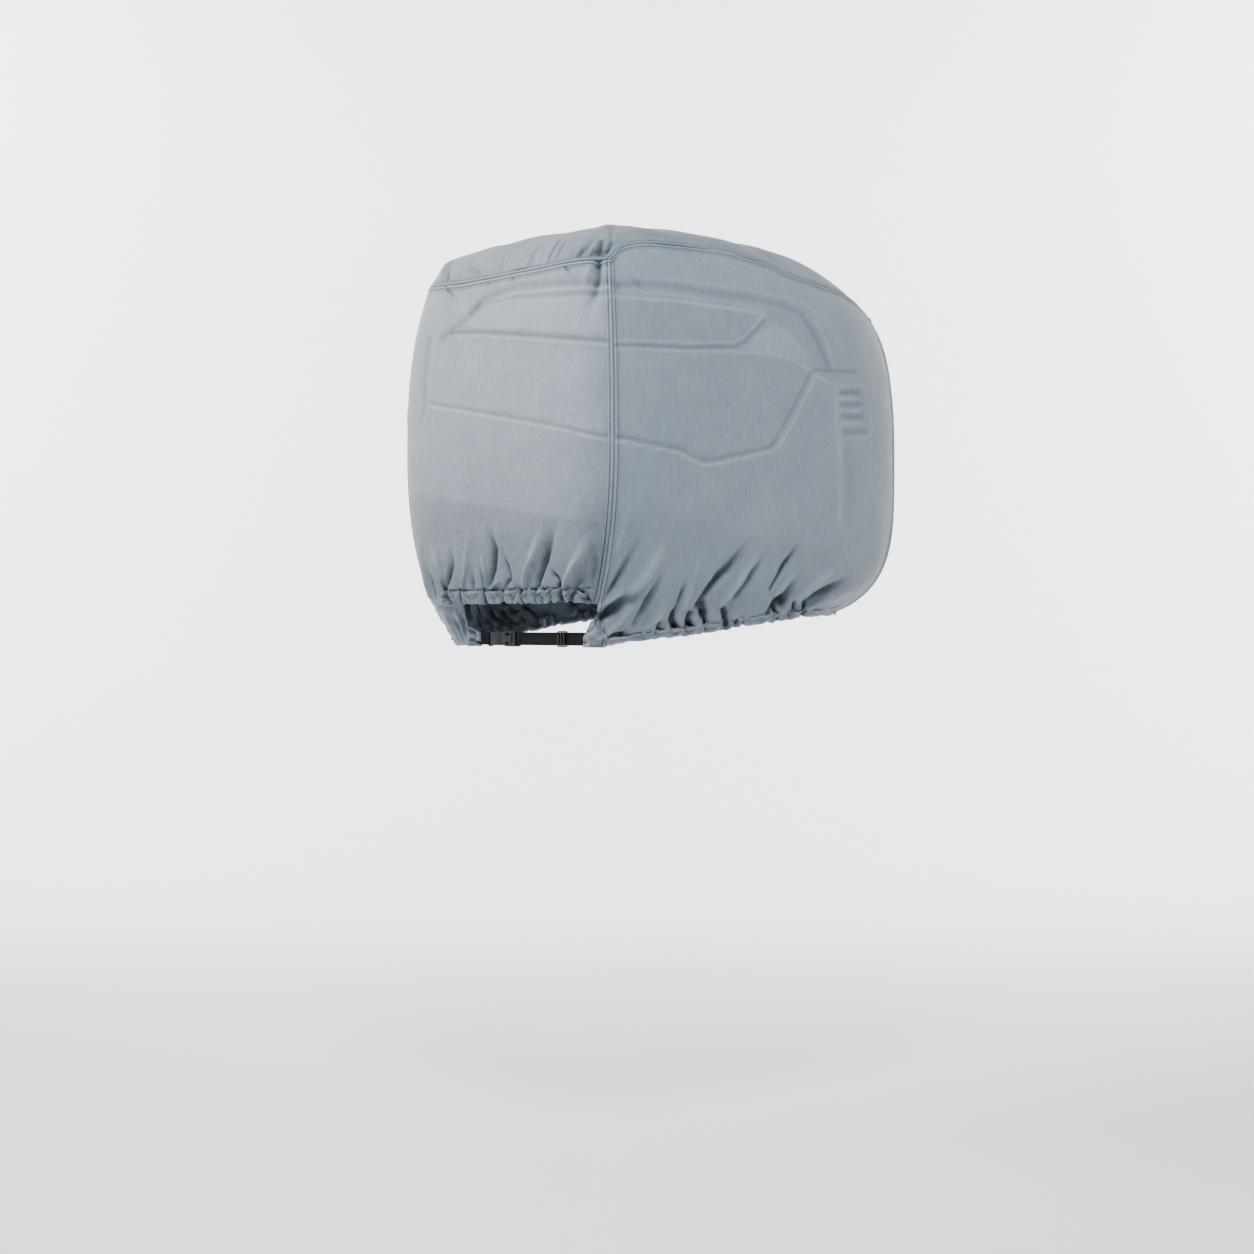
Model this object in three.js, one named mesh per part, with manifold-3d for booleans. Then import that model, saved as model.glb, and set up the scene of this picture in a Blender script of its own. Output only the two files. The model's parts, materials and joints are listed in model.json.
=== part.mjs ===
// A fitted cloth cover, pulled down over a rounded box and drawn in by an elastic hem.
// Millimetres, +X towards the nose, +Y to port, +Z up.
// The origin is under the crown of the roof, on the inner face of the cloth.

import * as THREE from 'three';
import Module from 'manifold-3d';
import { mergeVertices } from 'three/addons/utils/BufferGeometryUtils.js';

const wasm = await Module();
wasm.setup();

// Main sizes of the cover as it hangs
const cover = {
  length: 864,
  width: 711,
  height: 762,
  thickness: 2,
  pieceGap: 0.36,
};

// Heights below are measured up from the level of the side hem. The widest level is the waist.
const waist = 342.5;
const zShift = cover.thickness - cover.height;

// Roundness of the shell: the exponent of a superellipse, where 2 is an ellipse and 9 nearly a box
const plan = { rear: 6.9, nose: 4.6, rearAtRoof: 6.0, noseAtRoof: 5.8 };
const shoulder = { rear: 9.0, side: [8.8, 9.9, 5.7, 3.2], nose: 2.8 };
const belly = {
  roundness: [2.17, 3.65, 4.02],
  depth: [449.8, 402, 341],
  tuckX: [0.19, 1, 1],
  tuckY: [0.95, 1, 1],
};
const lean = { alongX: 0.068, alongY: 0.175, power: 2.5 };

// Where the roof seam runs: 1 is level with the box edge, more is lower on the wall
const seam = { rear: 1.26, side: [1.05, 1.08, 1.093, 1.155, 1.16], nose: 1 };
const welt = { height: 1.6 };

// Height of the hem along a side, rear to nose, and on the rear and the nose
const hem = { side: [-38, -20, 4, 18, 22], rear: 44, nose: 22 };

// Lobes of the sides hang below the rear hem at the two rear corners. The starboard one ends short
// of the corner, by its shift at the lowest point. The port one goes on round the corner,
// and lies further in than the rear hem does, by its inset at its free edge.
const lobe = { starboardShift: -50, portInset: 31, top: 44, bottom: -38 };

// The closing strap between the lobes. Its pieces lie one after the other along Y.
const strap = { x: -362, height: -22.5, width: 25, single: 1.6, doubled: 3.8, intoTab: 10 };
const slider = { from: -148, to: -126, height: 31, thickness: 8.6 };
const socket = { from: -8, to: 41, height: 31, thickness: 11 };
const plug = { from: 41.3, to: 92, height: 27, thickness: 8 };
const bar = { size: 3, slot: 6.5, height: 26.6 };
const tongue = { length: 11, height: 17, thickness: 4 };
const tabThickness = 6;
// Where each tab ends, row by row from the top, starting at its lobe's free edge
const starboardTab = [
  { y: -226, height: 21 }, { y: -217, height: 0 }, { y: -205, height: -19 }, { y: -198, height: -40 },
];
const portTab = [{ y: 117, height: -5 }, { y: 117, height: -22 }, { y: 119, height: -40 }];
// A narrow stay from inside the rear hem down to the inner face of the port tab.
// toRear is how far it has come back from the tab to the rear cloth.
const stay = [
  { y: 121, height: -15, width: 7, toRear: 0 }, { y: 120, height: 8, width: 8, toRear: 0 },
  { y: 108, height: 40, width: 13, toRear: 0.8 }, { y: 99, height: 64, width: 15, toRear: 1 },
];

// Rows of the walls above the waist, as shares of the way up to the roof seam
const upperRows = [0.16, 0.34, 0.52, 0.7, 0.84, 0.93, 0.965, 1];
// Rows below the waist, as heights at the rear corner and as heights above the hem elsewhere.
// wrap is how far the port lobe goes on round the corner, as a share of half the length.
const lowerRows = [
  { rear: 296, aboveHem: null, gather: 0, tuck: 0 },
  { rear: 250, aboveHem: null, gather: 0, tuck: 0 },
  { rear: 208, aboveHem: null, gather: 0, tuck: 0 },
  { rear: 170, aboveHem: 172, gather: 0, tuck: 0 },
  { rear: 136, aboveHem: 138, gather: 0.6, tuck: 0 },
  { rear: 106, aboveHem: 108, gather: 1.8, tuck: 0 },
  { rear: 76, aboveHem: 82, gather: 3.4, tuck: 0 },
  { rear: 60, aboveHem: 60, gather: 5, tuck: 0.5 },
  { rear: 44, aboveHem: 46, gather: 6.5, tuck: 1 },
  { rear: 41, aboveHem: 41, gather: 6, tuck: 0, wrap: 0.385 },
  { rear: 24, aboveHem: 33, gather: 5.5, tuck: -3, wrap: 0.375 },
  { rear: 2, aboveHem: 21, gather: 7.5, tuck: 0.5, wrap: 0.36 },
  { rear: -18, aboveHem: 10, gather: 7.5, tuck: -1, wrap: 0.33 },
  { rear: -38, aboveHem: 0, gather: 6, tuck: -5, wrap: 0.263 },
];
// The rear panel's own hem: the casing of its elastic is the lowest three rows
const rearRows = [
  { height: 296, gather: 0, tuck: 0 },
  { height: 250, gather: 0, tuck: 0 },
  { height: 208, gather: 0, tuck: 0 },
  { height: 170, gather: 0.5, tuck: 0 },
  { height: 136, gather: 1.6, tuck: 0 },
  { height: 106, gather: 3.2, tuck: 0 },
  { height: 76, gather: 5, tuck: -3 },
  { height: 60, gather: 7, tuck: 1.5 },
  { height: 44, gather: 5, tuck: -4 },
];
const fineFrom = 4;

// Main folds. Each runs from one place to another on its panel. at is X on a side and Y on the
// rear, height is above the side hem, rise is outwards when positive, width is half its breadth.
const sideFolds = [
  { at: -392, height: 60, toAt: -346, toHeight: 262, rise: 6, width: 20 },
  { at: -362, height: 40, toAt: -318, toHeight: 225, rise: -5, width: 18 },
  { at: -372, height: 6, toAt: -318, toHeight: 70, rise: -13, width: 17 },
  { at: -350, height: -24, toAt: -292, toHeight: 62, rise: 10, width: 17 },
  { at: -256, height: 0, toAt: -150, toHeight: 104, rise: -8, width: 15 },
  { at: -222, height: 8, toAt: -106, toHeight: 128, rise: 6, width: 17 },
  { at: -181, height: 4, toAt: -70, toHeight: 112, rise: -8, width: 15 },
  { at: -148, height: 20, toAt: -30, toHeight: 200, rise: 6, width: 20 },
  { at: -96, height: 12, toAt: 10, toHeight: 140, rise: -6, width: 17 },
  { at: -50, height: 24, toAt: 52, toHeight: 150, rise: 5, width: 18 },
  { at: 0, height: 20, toAt: 70, toHeight: 138, rise: -9, width: 17 },
  { at: 62, height: 30, toAt: 150, toHeight: 120, rise: 6, width: 18 },
  { at: 116, height: 40, toAt: 290, toHeight: 122, rise: -10, width: 20 },
  { at: 170, height: 36, toAt: 318, toHeight: 84, rise: 6, width: 18 },
];
const rearFolds = [
  { at: 196, height: 70, toAt: 178, toHeight: 122, rise: -8, width: 17 },
  { at: 136, height: 92, toAt: 118, toHeight: 160, rise: 6, width: 18 },
  { at: 66, height: 72, toAt: 40, toHeight: 182, rise: -9, width: 17 },
  { at: 30, height: 84, toAt: 22, toHeight: 176, rise: 5, width: 16 },
  { at: 4, height: 76, toAt: 14, toHeight: 142, rise: -6, width: 15 },
  { at: -66, height: 78, toAt: -98, toHeight: 190, rise: 7, width: 20 },
  { at: -98, height: 100, toAt: -146, toHeight: 210, rise: -6, width: 18 },
  { at: -164, height: 76, toAt: -124, toHeight: 124, rise: -9, width: 17 },
  { at: -190, height: 86, toAt: -240, toHeight: 150, rise: 7, width: 18 },
  { at: -246, height: 92, toAt: -286, toHeight: 152, rise: -6, width: 17 },
];
// Creases of the rear hem's casing, by Y
const rearCreases = [
  { at: 214 }, { at: 158 }, { at: 72 }, { at: 16 }, { at: -46 },
  { at: -84 }, { at: -166 }, { at: -196 }, { at: -240 },
];
const hemPitch = 44;

const clothColour = 0xa5adb6;
const cloth = new THREE.MeshStandardMaterial({ color: clothColour, roughness: 0.72, metalness: 0 });
const clothShade = new THREE.MeshStandardMaterial({ color: 0x98a0aa, roughness: 0.72, metalness: 0 });
const webbing = new THREE.MeshStandardMaterial({ color: 0x24262a, roughness: 0.85, metalness: 0 });
const plastic = new THREE.MeshStandardMaterial({ color: 0x2c2e32, roughness: 0.5, metalness: 0 });

const mix = (a, b, t) => a + (b - a) * t;
const clamp = (v, low, high) => Math.min(high, Math.max(low, v));

function smooth(from, to, v) {
  const t = clamp((v - from) / (to - from), 0, 1);
  return t * t * (3 - 2 * t);
}

// A smooth line through evenly spaced values, level at both ends. u runs from -1 to 1.
function through(u, values) {
  const last = values.length - 1;
  const t = clamp(((u + 1) / 2) * last, 0, last - 1e-9);
  const i = Math.floor(t);
  const f = t - i;
  const slopeA = i > 0 ? (values[i + 1] - values[i - 1]) / 2 : 0;
  const slopeB = i + 1 < last ? (values[i + 2] - values[i]) / 2 : 0;
  const f2 = f * f;
  const f3 = f2 * f;
  return (2 * f3 - 3 * f2 + 1) * values[i] + (f3 - 2 * f2 + f) * slopeA
    + (3 * f2 - 2 * f3) * values[i + 1] + (f3 - f2) * slopeB;
}

// The shell is a box blown up round its centre. A point is named by its place on the box, whose
// faces are at -1 and 1: x = -1 is the rear, y = -1 starboard, z = 1 the roof, z = 0 the waist.
// u and v tell where round the box's plan the point lies.
function around(x, y) {
  const m = Math.max(Math.abs(x), Math.abs(y), 1e-9);
  return { m, u: x / m, v: y / m };
}

function seamDrop(u, v) {
  const level = mix(seam.rear, seam.nose, smooth(-1, 1, u));
  return mix(level, through(u, seam.side), v ** 4);
}

function planReach(dx, dy, exponent) {
  const m = Math.max(Math.abs(dx), Math.abs(dy), 1e-9);
  return m * ((Math.abs(dx) / m) ** exponent + (Math.abs(dy) / m) ** exponent) ** (1 / exponent);
}

// The wall above the waist, and the roof when onRoof is true
function upperShell(x, y, z, onRoof) {
  const { m, u, v } = around(x, y);
  const drop = seamDrop(u, v);
  const spread = onRoof ? 1 + (drop - 1) * m * m : 1;
  const dx = x * spread;
  const dy = y * spread;
  const dz = onRoof ? 1 : z / drop;
  const far = Math.max(Math.abs(dx), Math.abs(dy), 1e-9);
  const nose = smooth(-0.6, 1, u);
  const roofward = smooth(0.3, 1, dz / far);
  const low = mix(plan.rear, plan.nose, nose);
  const high = mix(plan.rearAtRoof, plan.noseAtRoof, nose);
  const reach = planReach(dx, dy, mix(low, high, roofward));
  const level = mix(shoulder.rear, shoulder.nose, smooth(-1, 1, u));
  const n = mix(level, through(u, shoulder.side), v ** 4);
  const steep = dz / Math.max(reach, 1e-9);
  let out;
  let up;
  if (steep > 1) {
    up = (1 + (1 / steep) ** n) ** (-1 / n);
    out = up / steep;
  } else {
    out = (1 + steep ** n) ** (-1 / n);
    up = out * steep;
  }
  const leaning = up ** lean.power;
  return new THREE.Vector3(
    (dx / Math.max(reach, 1e-9)) * out * (cover.length / 2)
      * (1 - lean.alongX * leaning * smooth(1, -0.5, u)),
    (dy / Math.max(reach, 1e-9)) * out * (cover.width / 2) * (1 - lean.alongY * leaning),
    waist + up * (cover.height - waist),
  );
}

// The wall below the waist, at a given height above the side hem's level
function lowerShell(x, y, height) {
  const { u } = around(x, y);
  const n = through(u, belly.roundness);
  const down = clamp((waist - height) / through(u, belly.depth), 0, 0.985);
  const out = (1 - down ** n) ** (1 / n);
  const reach = planReach(x, y, mix(plan.rear, plan.nose, smooth(-0.6, 1, u)));
  const px = (x / reach) * (cover.length / 2) * (1 - (1 - out) * through(u, belly.tuckX));
  const py = (y / reach) * (cover.width / 2) * (1 - (1 - out) * through(u, belly.tuckY));
  const atCorner = y < 0 ? smooth(-0.72, -1, u) * Math.abs(y) ** 8 : 0;
  const shift = lobe.starboardShift * smooth(lobe.top, lobe.bottom, height) * atCorner;
  const inLobe = x < 0 && y > 0 && height < lobe.top - 1 ? smooth(1, 0.5, y / -x) : 0;
  return new THREE.Vector3(px + lobe.portInset * inLobe, py + shift, height);
}

// The outward direction of a surface given as a function of two numbers
function outward(surface, a, b, stepA, stepB) {
  const alongA = surface(a + stepA, b).sub(surface(a - stepA, b));
  const alongB = surface(a, b + stepB).sub(surface(a, b - stepB));
  const normal = alongA.cross(alongB).normalize();
  const fromMiddle = surface(a, b).sub(new THREE.Vector3(0, 0, waist));
  return normal.dot(fromMiddle) < 0 ? normal.negate() : normal;
}

// How far the folds of a table push the cloth out at a place on its panel
function foldRise(folds, at, height) {
  let rise = 0;
  for (const fold of folds) {
    const run = fold.toAt - fold.at;
    const climb = fold.toHeight - fold.height;
    const t = ((at - fold.at) * run + (height - fold.height) * climb) / (run * run + climb * climb);
    const along = clamp(t, 0, 1);
    const dx = at - fold.at - along * run;
    const dy = height - fold.height - along * climb;
    const fade = 1 - 0.55 * along;
    rise += fold.rise * fade * Math.exp(-(dx * dx + dy * dy) / (fold.width * fold.width));
  }
  return rise;
}

// Columns of a panel. Each has its place on the box face, from -1 to 1, and its lift: how much
// of the gather it takes, none at a crease. The two outermost pairs carry the seam's welt.
const weltColumns = [{ a: 1, lift: 0 }, { a: 0.965, lift: 0.1 }, { a: 0.95, lift: 0.2 }];

function plainColumns(count, reach) {
  const columns = [];
  for (let i = 0; i <= count; i += 1) columns.push({ a: mix(-reach, reach, i / count), lift: 0.6 });
  return columns;
}

function withWelts(inner) {
  const left = weltColumns.map((c) => ({ a: -c.a, lift: c.lift }));
  const right = [...weltColumns].reverse();
  return [...left, ...inner.filter((c) => Math.abs(c.a) < 0.935), ...right];
}

function gatheredColumns(creases, halfSize, shoulderWidth) {
  const near = shoulderWidth / halfSize;
  const columns = [];
  for (const crease of creases) {
    columns.push({ a: crease - near, lift: 0.85 }, { a: crease, lift: 0 });
    columns.push({ a: crease + near, lift: 0.85 });
  }
  for (let i = 1; i < creases.length; i += 1) {
    const gap = creases[i] - creases[i - 1];
    if (gap > 7 * near) columns.push({ a: creases[i] - gap / 2, lift: 1 });
  }
  return columns.sort((p, q) => p.a - q.a);
}

// Uneven creases along a hem, about one every hemPitch
function evenCreases(halfSize, seed) {
  const count = Math.round((1.84 * halfSize) / hemPitch);
  const creases = [];
  for (let i = 0; i <= count; i += 1) {
    const wander = 0.3 * Math.sin(i * 2.4 + seed) + 0.16 * Math.sin(i * 5.1 + 2 * seed);
    creases.push(mix(-0.9, 0.9, clamp((i + wander) / count, 0, 1)));
  }
  return creases;
}

// Closes a sheet: rows of outer and inner points, in which neighbouring rows may differ in number
function sheetGeometry(rows) {
  const points = [];
  const triangles = [];
  const indexed = rows.map((row) => row.map((p) => {
    points.push(p.outer, p.inner);
    return { a: p.a, outer: points.length - 2, inner: points.length - 1 };
  }));
  const wall = (p, q) => {
    triangles.push([p.outer, q.outer, q.inner], [p.outer, q.inner, p.inner]);
  };
  for (let r = 1; r < indexed.length; r += 1) {
    const low = indexed[r - 1];
    const high = indexed[r];
    let i = 0;
    let j = 0;
    while (i < low.length - 1 || j < high.length - 1) {
      const stepLow = j === high.length - 1
        || (i < low.length - 1 && low[i + 1].a <= high[j + 1].a + 1e-9);
      const third = stepLow ? low[i + 1] : high[j + 1];
      triangles.push([low[i].outer, third.outer, high[j].outer]);
      triangles.push([low[i].inner, high[j].inner, third.inner]);
      if (stepLow) i += 1;
      else j += 1;
    }
    wall(low[0], high[0]);
    wall(high.at(-1), low.at(-1));
  }
  const first = indexed[0];
  const last = indexed.at(-1);
  for (let i = 1; i < first.length; i += 1) wall(first[i], first[i - 1]);
  for (let i = 1; i < last.length; i += 1) wall(last[i - 1], last[i]);

  let volume = 0;
  for (const [a, b, c] of triangles) {
    volume += points[a].dot(new THREE.Vector3().crossVectors(points[b], points[c]));
  }
  const order = volume > 0 ? triangles : triangles.map(([a, b, c]) => [a, c, b]);
  const geometry = new THREE.BufferGeometry();
  geometry.setAttribute('position', new THREE.Float32BufferAttribute(
    points.flatMap((p) => [p.x, p.y, p.z + zShift]), 3));
  geometry.setIndex(order.flat());
  geometry.computeVertexNormals();
  return geometry;
}

// Moves the rim of a sheet in by half the gap that pieces keep to each other
function trimmed(rows) {
  const shift = (point, towards) => {
    const by = towards.outer.clone().sub(point.outer).setLength(cover.pieceGap / 2);
    return { a: point.a, outer: point.outer.clone().add(by), inner: point.inner.clone().add(by) };
  };
  const sides = rows.map((row) => [
    shift(row[0], row[1]), ...row.slice(1, -1), shift(row.at(-1), row.at(-2))]);
  const nearest = (row, a) => row.reduce((p, q) => (Math.abs(q.a - a) < Math.abs(p.a - a) ? q : p));
  const top = sides[0].map((p) => shift(p, nearest(sides[1], p.a)));
  const bottom = sides.at(-1).map((p) => shift(p, nearest(sides.at(-2), p.a)));
  return [top, ...sides.slice(1, -1), bottom];
}

// One point of the cloth: outer and inner face, pushed out by rise
function clothPoint(a, base, normal, rise) {
  const outer = base.clone().addScaledVector(normal, rise);
  return { a, outer, inner: outer.clone().addScaledVector(normal, -cover.thickness) };
}

const acrossColumns = withWelts(plainColumns(11, 0.86));
const alongColumns = withWelts(plainColumns(17, 0.88));
const isWelt = (a) => Math.abs(a) > 0.958 && Math.abs(a) <= 1;

// A wall panel: face(a) gives the place on the box's plan for a column
function wallPanel({ face, size, coarse, fine, lower, folds, axis }) {
  const rows = [];
  for (const z of [...upperRows].reverse()) {
    const surface = (a, b) => upperShell(face(a).x, face(a).y, b, false);
    rows.push(coarse.map(({ a }) => {
      const base = surface(a, z);
      const rise = isWelt(a) || z > 0.96 ? welt.height : 0;
      return clothPoint(a, base, outward(surface, a, z, 0.003, 0.003), rise);
    }));
  }
  const waistSurface = (a, b) => lowerShell(face(a).x, face(a).y, b);
  lower.forEach((row, index) => {
    const columns = [...(row.extra ?? []), ...(index >= fineFrom ? fine : coarse)];
    rows.push(columns.map(({ a, lift }) => {
      const height = row.heightAt(a);
      const base = waistSurface(a, height);
      const inward = smooth(0, 0.1, Math.abs(1 - Math.abs(a)));
      const edge = isWelt(a) ? welt.height : 0;
      const pull = (row.gather * (lift - 0.5) + row.tuck) * (0.35 + 0.65 * inward);
      const rise = edge + pull * inward + foldRise(folds, base[axis], height) * inward;
      return clothPoint(a, base, outward(waistSurface, a, height, 0.003, 1), rise);
    }));
  });
  return trimmed(rows);
}

const lowestHem = (u) => through(u, hem.side);

function rowHeight(row, u) {
  const body = row.aboveHem === null ? row.rear : row.aboveHem + lowestHem(u);
  return mix(row.rear, body, smooth(-1, -0.62, u));
}

// Below the rear hem the port side goes on round the rear corner, in columns beyond -1
function wrapColumns(wrap) {
  return [1, 0.76, 0.5, 0.24].map((share) => ({ a: -1 - share * wrap, lift: 0.5 }));
}

function sidePanel(y, seed) {
  return wallPanel({
    face: (a) => (a > -1 ? { x: a, y } : { x: -1, y: y + ((a + 1) * y * cover.length) / cover.width }),
    axis: 'x',
    coarse: alongColumns,
    fine: withWelts(gatheredColumns(evenCreases(cover.length / 2, seed), cover.length / 2, 8)),
    lower: lowerRows.map((row) => (
      { ...row, extra: y > 0 && row.wrap ? wrapColumns(row.wrap) : [], heightAt: (a) => rowHeight(row, a) })),
    folds: sideFolds,
  });
}

function rearPanel() {
  const halfWidth = cover.width / 2;
  // Creases are given on the hem, which is narrower than the waist
  const creases = rearCreases.map((c) => c.at / (halfWidth * 0.84)).sort((p, q) => p - q);
  return wallPanel({
    face: (a) => ({ x: -1, y: a }),
    axis: 'y',
    coarse: acrossColumns,
    fine: withWelts(gatheredColumns(creases, halfWidth, 8)),
    lower: rearRows.map((row) => ({ ...row, heightAt: () => row.height })),
    folds: rearFolds,
  });
}

// Roof and nose are one piece of cloth, from the rear seam to the hem under the nose
function topFrontPanel() {
  const rows = [];
  const roof = (x, a) => upperShell(x, a, 1, true);
  for (const { a: x } of alongColumns) {
    if (x < 0.999) {
      rows.push(acrossColumns.map(({ a }) => {
        const rise = isWelt(a) || x < -0.958 ? welt.height : 0;
        return clothPoint(a, roof(x, a), outward(roof, x, a, 0.003, 0.003), rise);
      }));
    }
  }
  const nose = (z, a) => upperShell(1, a, z, false);
  for (const z of [...upperRows].reverse()) {
    rows.push(acrossColumns.map(({ a }) => {
      const rise = isWelt(a) ? welt.height : 0;
      return clothPoint(a, nose(z, a), outward(nose, z, a, 0.003, 0.003), rise);
    }));
  }
  const belly = (height, a) => lowerShell(1, a, height);
  const fine = withWelts(gatheredColumns(evenCreases(cover.width / 2, 4), cover.width / 2, 8));
  lowerRows.forEach((row, index) => {
    const height = rowHeight(row, 1);
    const columns = index >= fineFrom + 2 ? fine : acrossColumns;
    rows.push(columns.map(({ a, lift }) => {
      const inward = smooth(1, 0.9, Math.abs(a));
      const edge = isWelt(a) ? welt.height : 0;
      const rise = edge + (row.gather * (lift - 0.5) + row.tuck) * (0.35 + 0.65 * inward) * inward;
      return clothPoint(a, belly(height, a), outward(belly, height, a, 1, 0.003), rise);
    }));
  });
  return trimmed(rows);
}

// Solids that are joined or cut
function solidOf(geometry) {
  const bare = new THREE.BufferGeometry();
  bare.setAttribute('position', (geometry.index ? geometry.toNonIndexed() : geometry).attributes.position);
  const merged = mergeVertices(bare, 1e-3);
  return new wasm.Manifold(new wasm.Mesh({
    numProp: 3,
    vertProperties: merged.attributes.position.array,
    triVerts: new Uint32Array(merged.index.array),
  }));
}

function geometryOf(solid) {
  const mesh = solid.getMesh();
  const geometry = new THREE.BufferGeometry();
  geometry.setAttribute('position', new THREE.BufferAttribute(mesh.vertProperties, 3));
  geometry.setIndex(new THREE.BufferAttribute(mesh.triVerts, 1));
  geometry.computeVertexNormals();
  return geometry;
}

// A block on the strap's line, from one Y to another
function block(fromY, toY, height, thickness) {
  return solidOf(new THREE.BoxGeometry(thickness, toY - fromY, height)
    .translate(strap.x, (fromY + toY) / 2, strap.height + zShift));
}

// A moulded body on the strap's line with round corners as seen from the rear and a soft edge
function moulded(fromY, toY, height, thickness, corner) {
  const bevel = 1.2;
  const halfY = (toY - fromY) / 2 - bevel;
  const halfZ = height / 2 - bevel;
  const outline = new THREE.Shape();
  outline.moveTo(-halfY + corner, -halfZ);
  outline.lineTo(halfY - corner, -halfZ);
  outline.absarc(halfY - corner, -halfZ + corner, corner, -Math.PI / 2, 0);
  outline.absarc(halfY - corner, halfZ - corner, corner, 0, Math.PI / 2);
  outline.absarc(-halfY + corner, halfZ - corner, corner, Math.PI / 2, Math.PI);
  outline.absarc(-halfY + corner, -halfZ + corner, corner, Math.PI, 1.5 * Math.PI);
  const geometry = new THREE.ExtrudeGeometry(outline, {
    depth: thickness - 2 * bevel, curveSegments: 3,
    bevelEnabled: true, bevelThickness: bevel, bevelSize: bevel, bevelSegments: 1,
  });
  geometry.translate(0, 0, bevel - thickness / 2);
  // The outline's X and Y become Y and Z, and its depth becomes X
  geometry.applyMatrix4(new THREE.Matrix4().set(
    0, 0, 1, strap.x,
    1, 0, 0, (fromY + toY) / 2,
    0, 1, 0, strap.height + zShift,
    0, 0, 0, 1));
  return solidOf(geometry);
}

// Webbing seen from above: a strip along Y, closed round a bar at one end
function webbingOutline(tailY, thinTo, barY, towards) {
  const half = strap.doubled / 2;
  const thin = strap.single / 2;
  const inner = bar.size / 2 + 0.3;
  const outer = inner + strap.single;
  const near = barY - towards * outer;
  const far = barY + towards * outer;
  const outline = new THREE.Shape();
  outline.moveTo(-thin, tailY);
  outline.lineTo(thin, tailY);
  if (thinTo !== null) outline.lineTo(thin, thinTo).lineTo(half, thinTo + towards * 3);
  else outline.lineTo(half, tailY + towards * 2);
  outline.lineTo(half, near - towards * 3).lineTo(outer, near + towards * 1.2);
  outline.lineTo(outer, far - towards * 1.2).lineTo(outer - 1.2, far).lineTo(1.2 - outer, far);
  outline.lineTo(-outer, far - towards * 1.2).lineTo(-outer, near + towards * 1.2);
  outline.lineTo(-half, near - towards * 3);
  if (thinTo !== null) outline.lineTo(-half, thinTo + towards * 3).lineTo(-thin, thinTo);
  else outline.lineTo(-half, tailY + towards * 2);
  const hole = new THREE.Path();
  hole.moveTo(-inner, barY - inner).lineTo(inner, barY - inner);
  hole.lineTo(inner, barY + inner).lineTo(-inner, barY + inner);
  outline.holes.push(hole);
  return outline;
}

function webbingPiece(tailY, thinTo, barY, towards) {
  const geometry = new THREE.ExtrudeGeometry(webbingOutline(tailY, thinTo, barY, towards), {
    depth: strap.width, bevelEnabled: false, steps: 1,
  });
  return geometry.translate(strap.x, 0, strap.height + zShift - strap.width / 2);
}

// A tab: cloth folded to a flat sleeve, sewn to its lobe's free edge and open at its other end
function tabGeometry(lobeRows, ends, towards) {
  const rows = ends.map((end, index) => {
    const edge = lobeRows[lobeRows.length - ends.length + index][0];
    const root = edge.outer.clone().add(edge.inner).multiplyScalar(0.5);
    const rootNormal = edge.outer.clone().sub(edge.inner).normalize();
    const tip = new THREE.Vector3(strap.x, end.y, end.height);
    return [0, 0.3, 0.65, 1].map((t) => {
      const middle = root.clone().lerp(tip, t);
      middle.x = mix(root.x, tip.x, smooth(0, 0.65, t));
      if (t === 0) middle.y += towards * cover.pieceGap;
      const normal = rootNormal.clone().lerp(new THREE.Vector3(-1, 0, 0), smooth(0, 0.3, t));
      normal.normalize();
      const half = mix(cover.thickness, tabThickness, smooth(0, 0.3, t)) / 2;
      return {
        a: t,
        outer: middle.clone().addScaledVector(normal, half),
        inner: middle.clone().addScaledVector(normal, -half),
      };
    });
  });
  return sheetGeometry(rows);
}

function tabSolid(lobeRows, ends, towards) {
  const mouth = ends.at(-1).y;
  const depth = strap.intoTab + 1.5;
  const thickness = (towards > 0 ? strap.single : strap.doubled) + 0.7;
  const pocket = block(
    Math.min(mouth - towards * depth, mouth + towards * 60),
    Math.max(mouth - towards * depth, mouth + towards * 60),
    strap.width + 0.7, thickness);
  return geometryOf(solidOf(tabGeometry(lobeRows, ends, towards)).subtract(pocket));
}

// The stay, a flat strip whose places are given from the tab up
function stayGeometry(rearRows3d) {
  const atTab = strap.x + tabThickness / 2 + 0.4;
  const atRear = innerRearX(rearRows3d, stay.at(-1)) + 1.6;
  const rows = stay.map((place) => {
    const x = mix(atTab, atRear, place.toRear);
    return [-1, 1].map((side) => {
      const outer = new THREE.Vector3(x, place.y + (side * place.width) / 2, place.height);
      return { a: side, outer, inner: outer.clone().add(new THREE.Vector3(1.6, 0, 0)) };
    });
  });
  return sheetGeometry(rows);
}

// The innermost X of the rear panel's cloth near a place
function innerRearX(rows, place) {
  const near = rows.flat().filter((p) => (
    Math.abs(p.inner.y - place.y) < 26 && Math.abs(p.inner.z - place.height) < 22));
  return Math.max(...near.map((p) => p.inner.x));
}

const group = new THREE.Group();

function addPiece(name, geometry, material) {
  const mesh = new THREE.Mesh(geometry, material);
  mesh.name = name;
  group.add(mesh);
  return mesh;
}

const starboardRows = sidePanel(-1, 1);
const portRows = sidePanel(1, 3);
const rearCloth = rearPanel();
addPiece('top_front_panel', sheetGeometry(topFrontPanel()), cloth);
addPiece('rear_panel', sheetGeometry(rearCloth), cloth);
addPiece('side_panel_starboard', sheetGeometry(starboardRows), clothShade);
addPiece('side_panel_port', sheetGeometry(portRows), clothShade);

addPiece('strap_tab_starboard', tabSolid(starboardRows, starboardTab, 1), clothShade);
addPiece('strap_tab_port', tabSolid(portRows, portTab, -1), clothShade);

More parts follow.
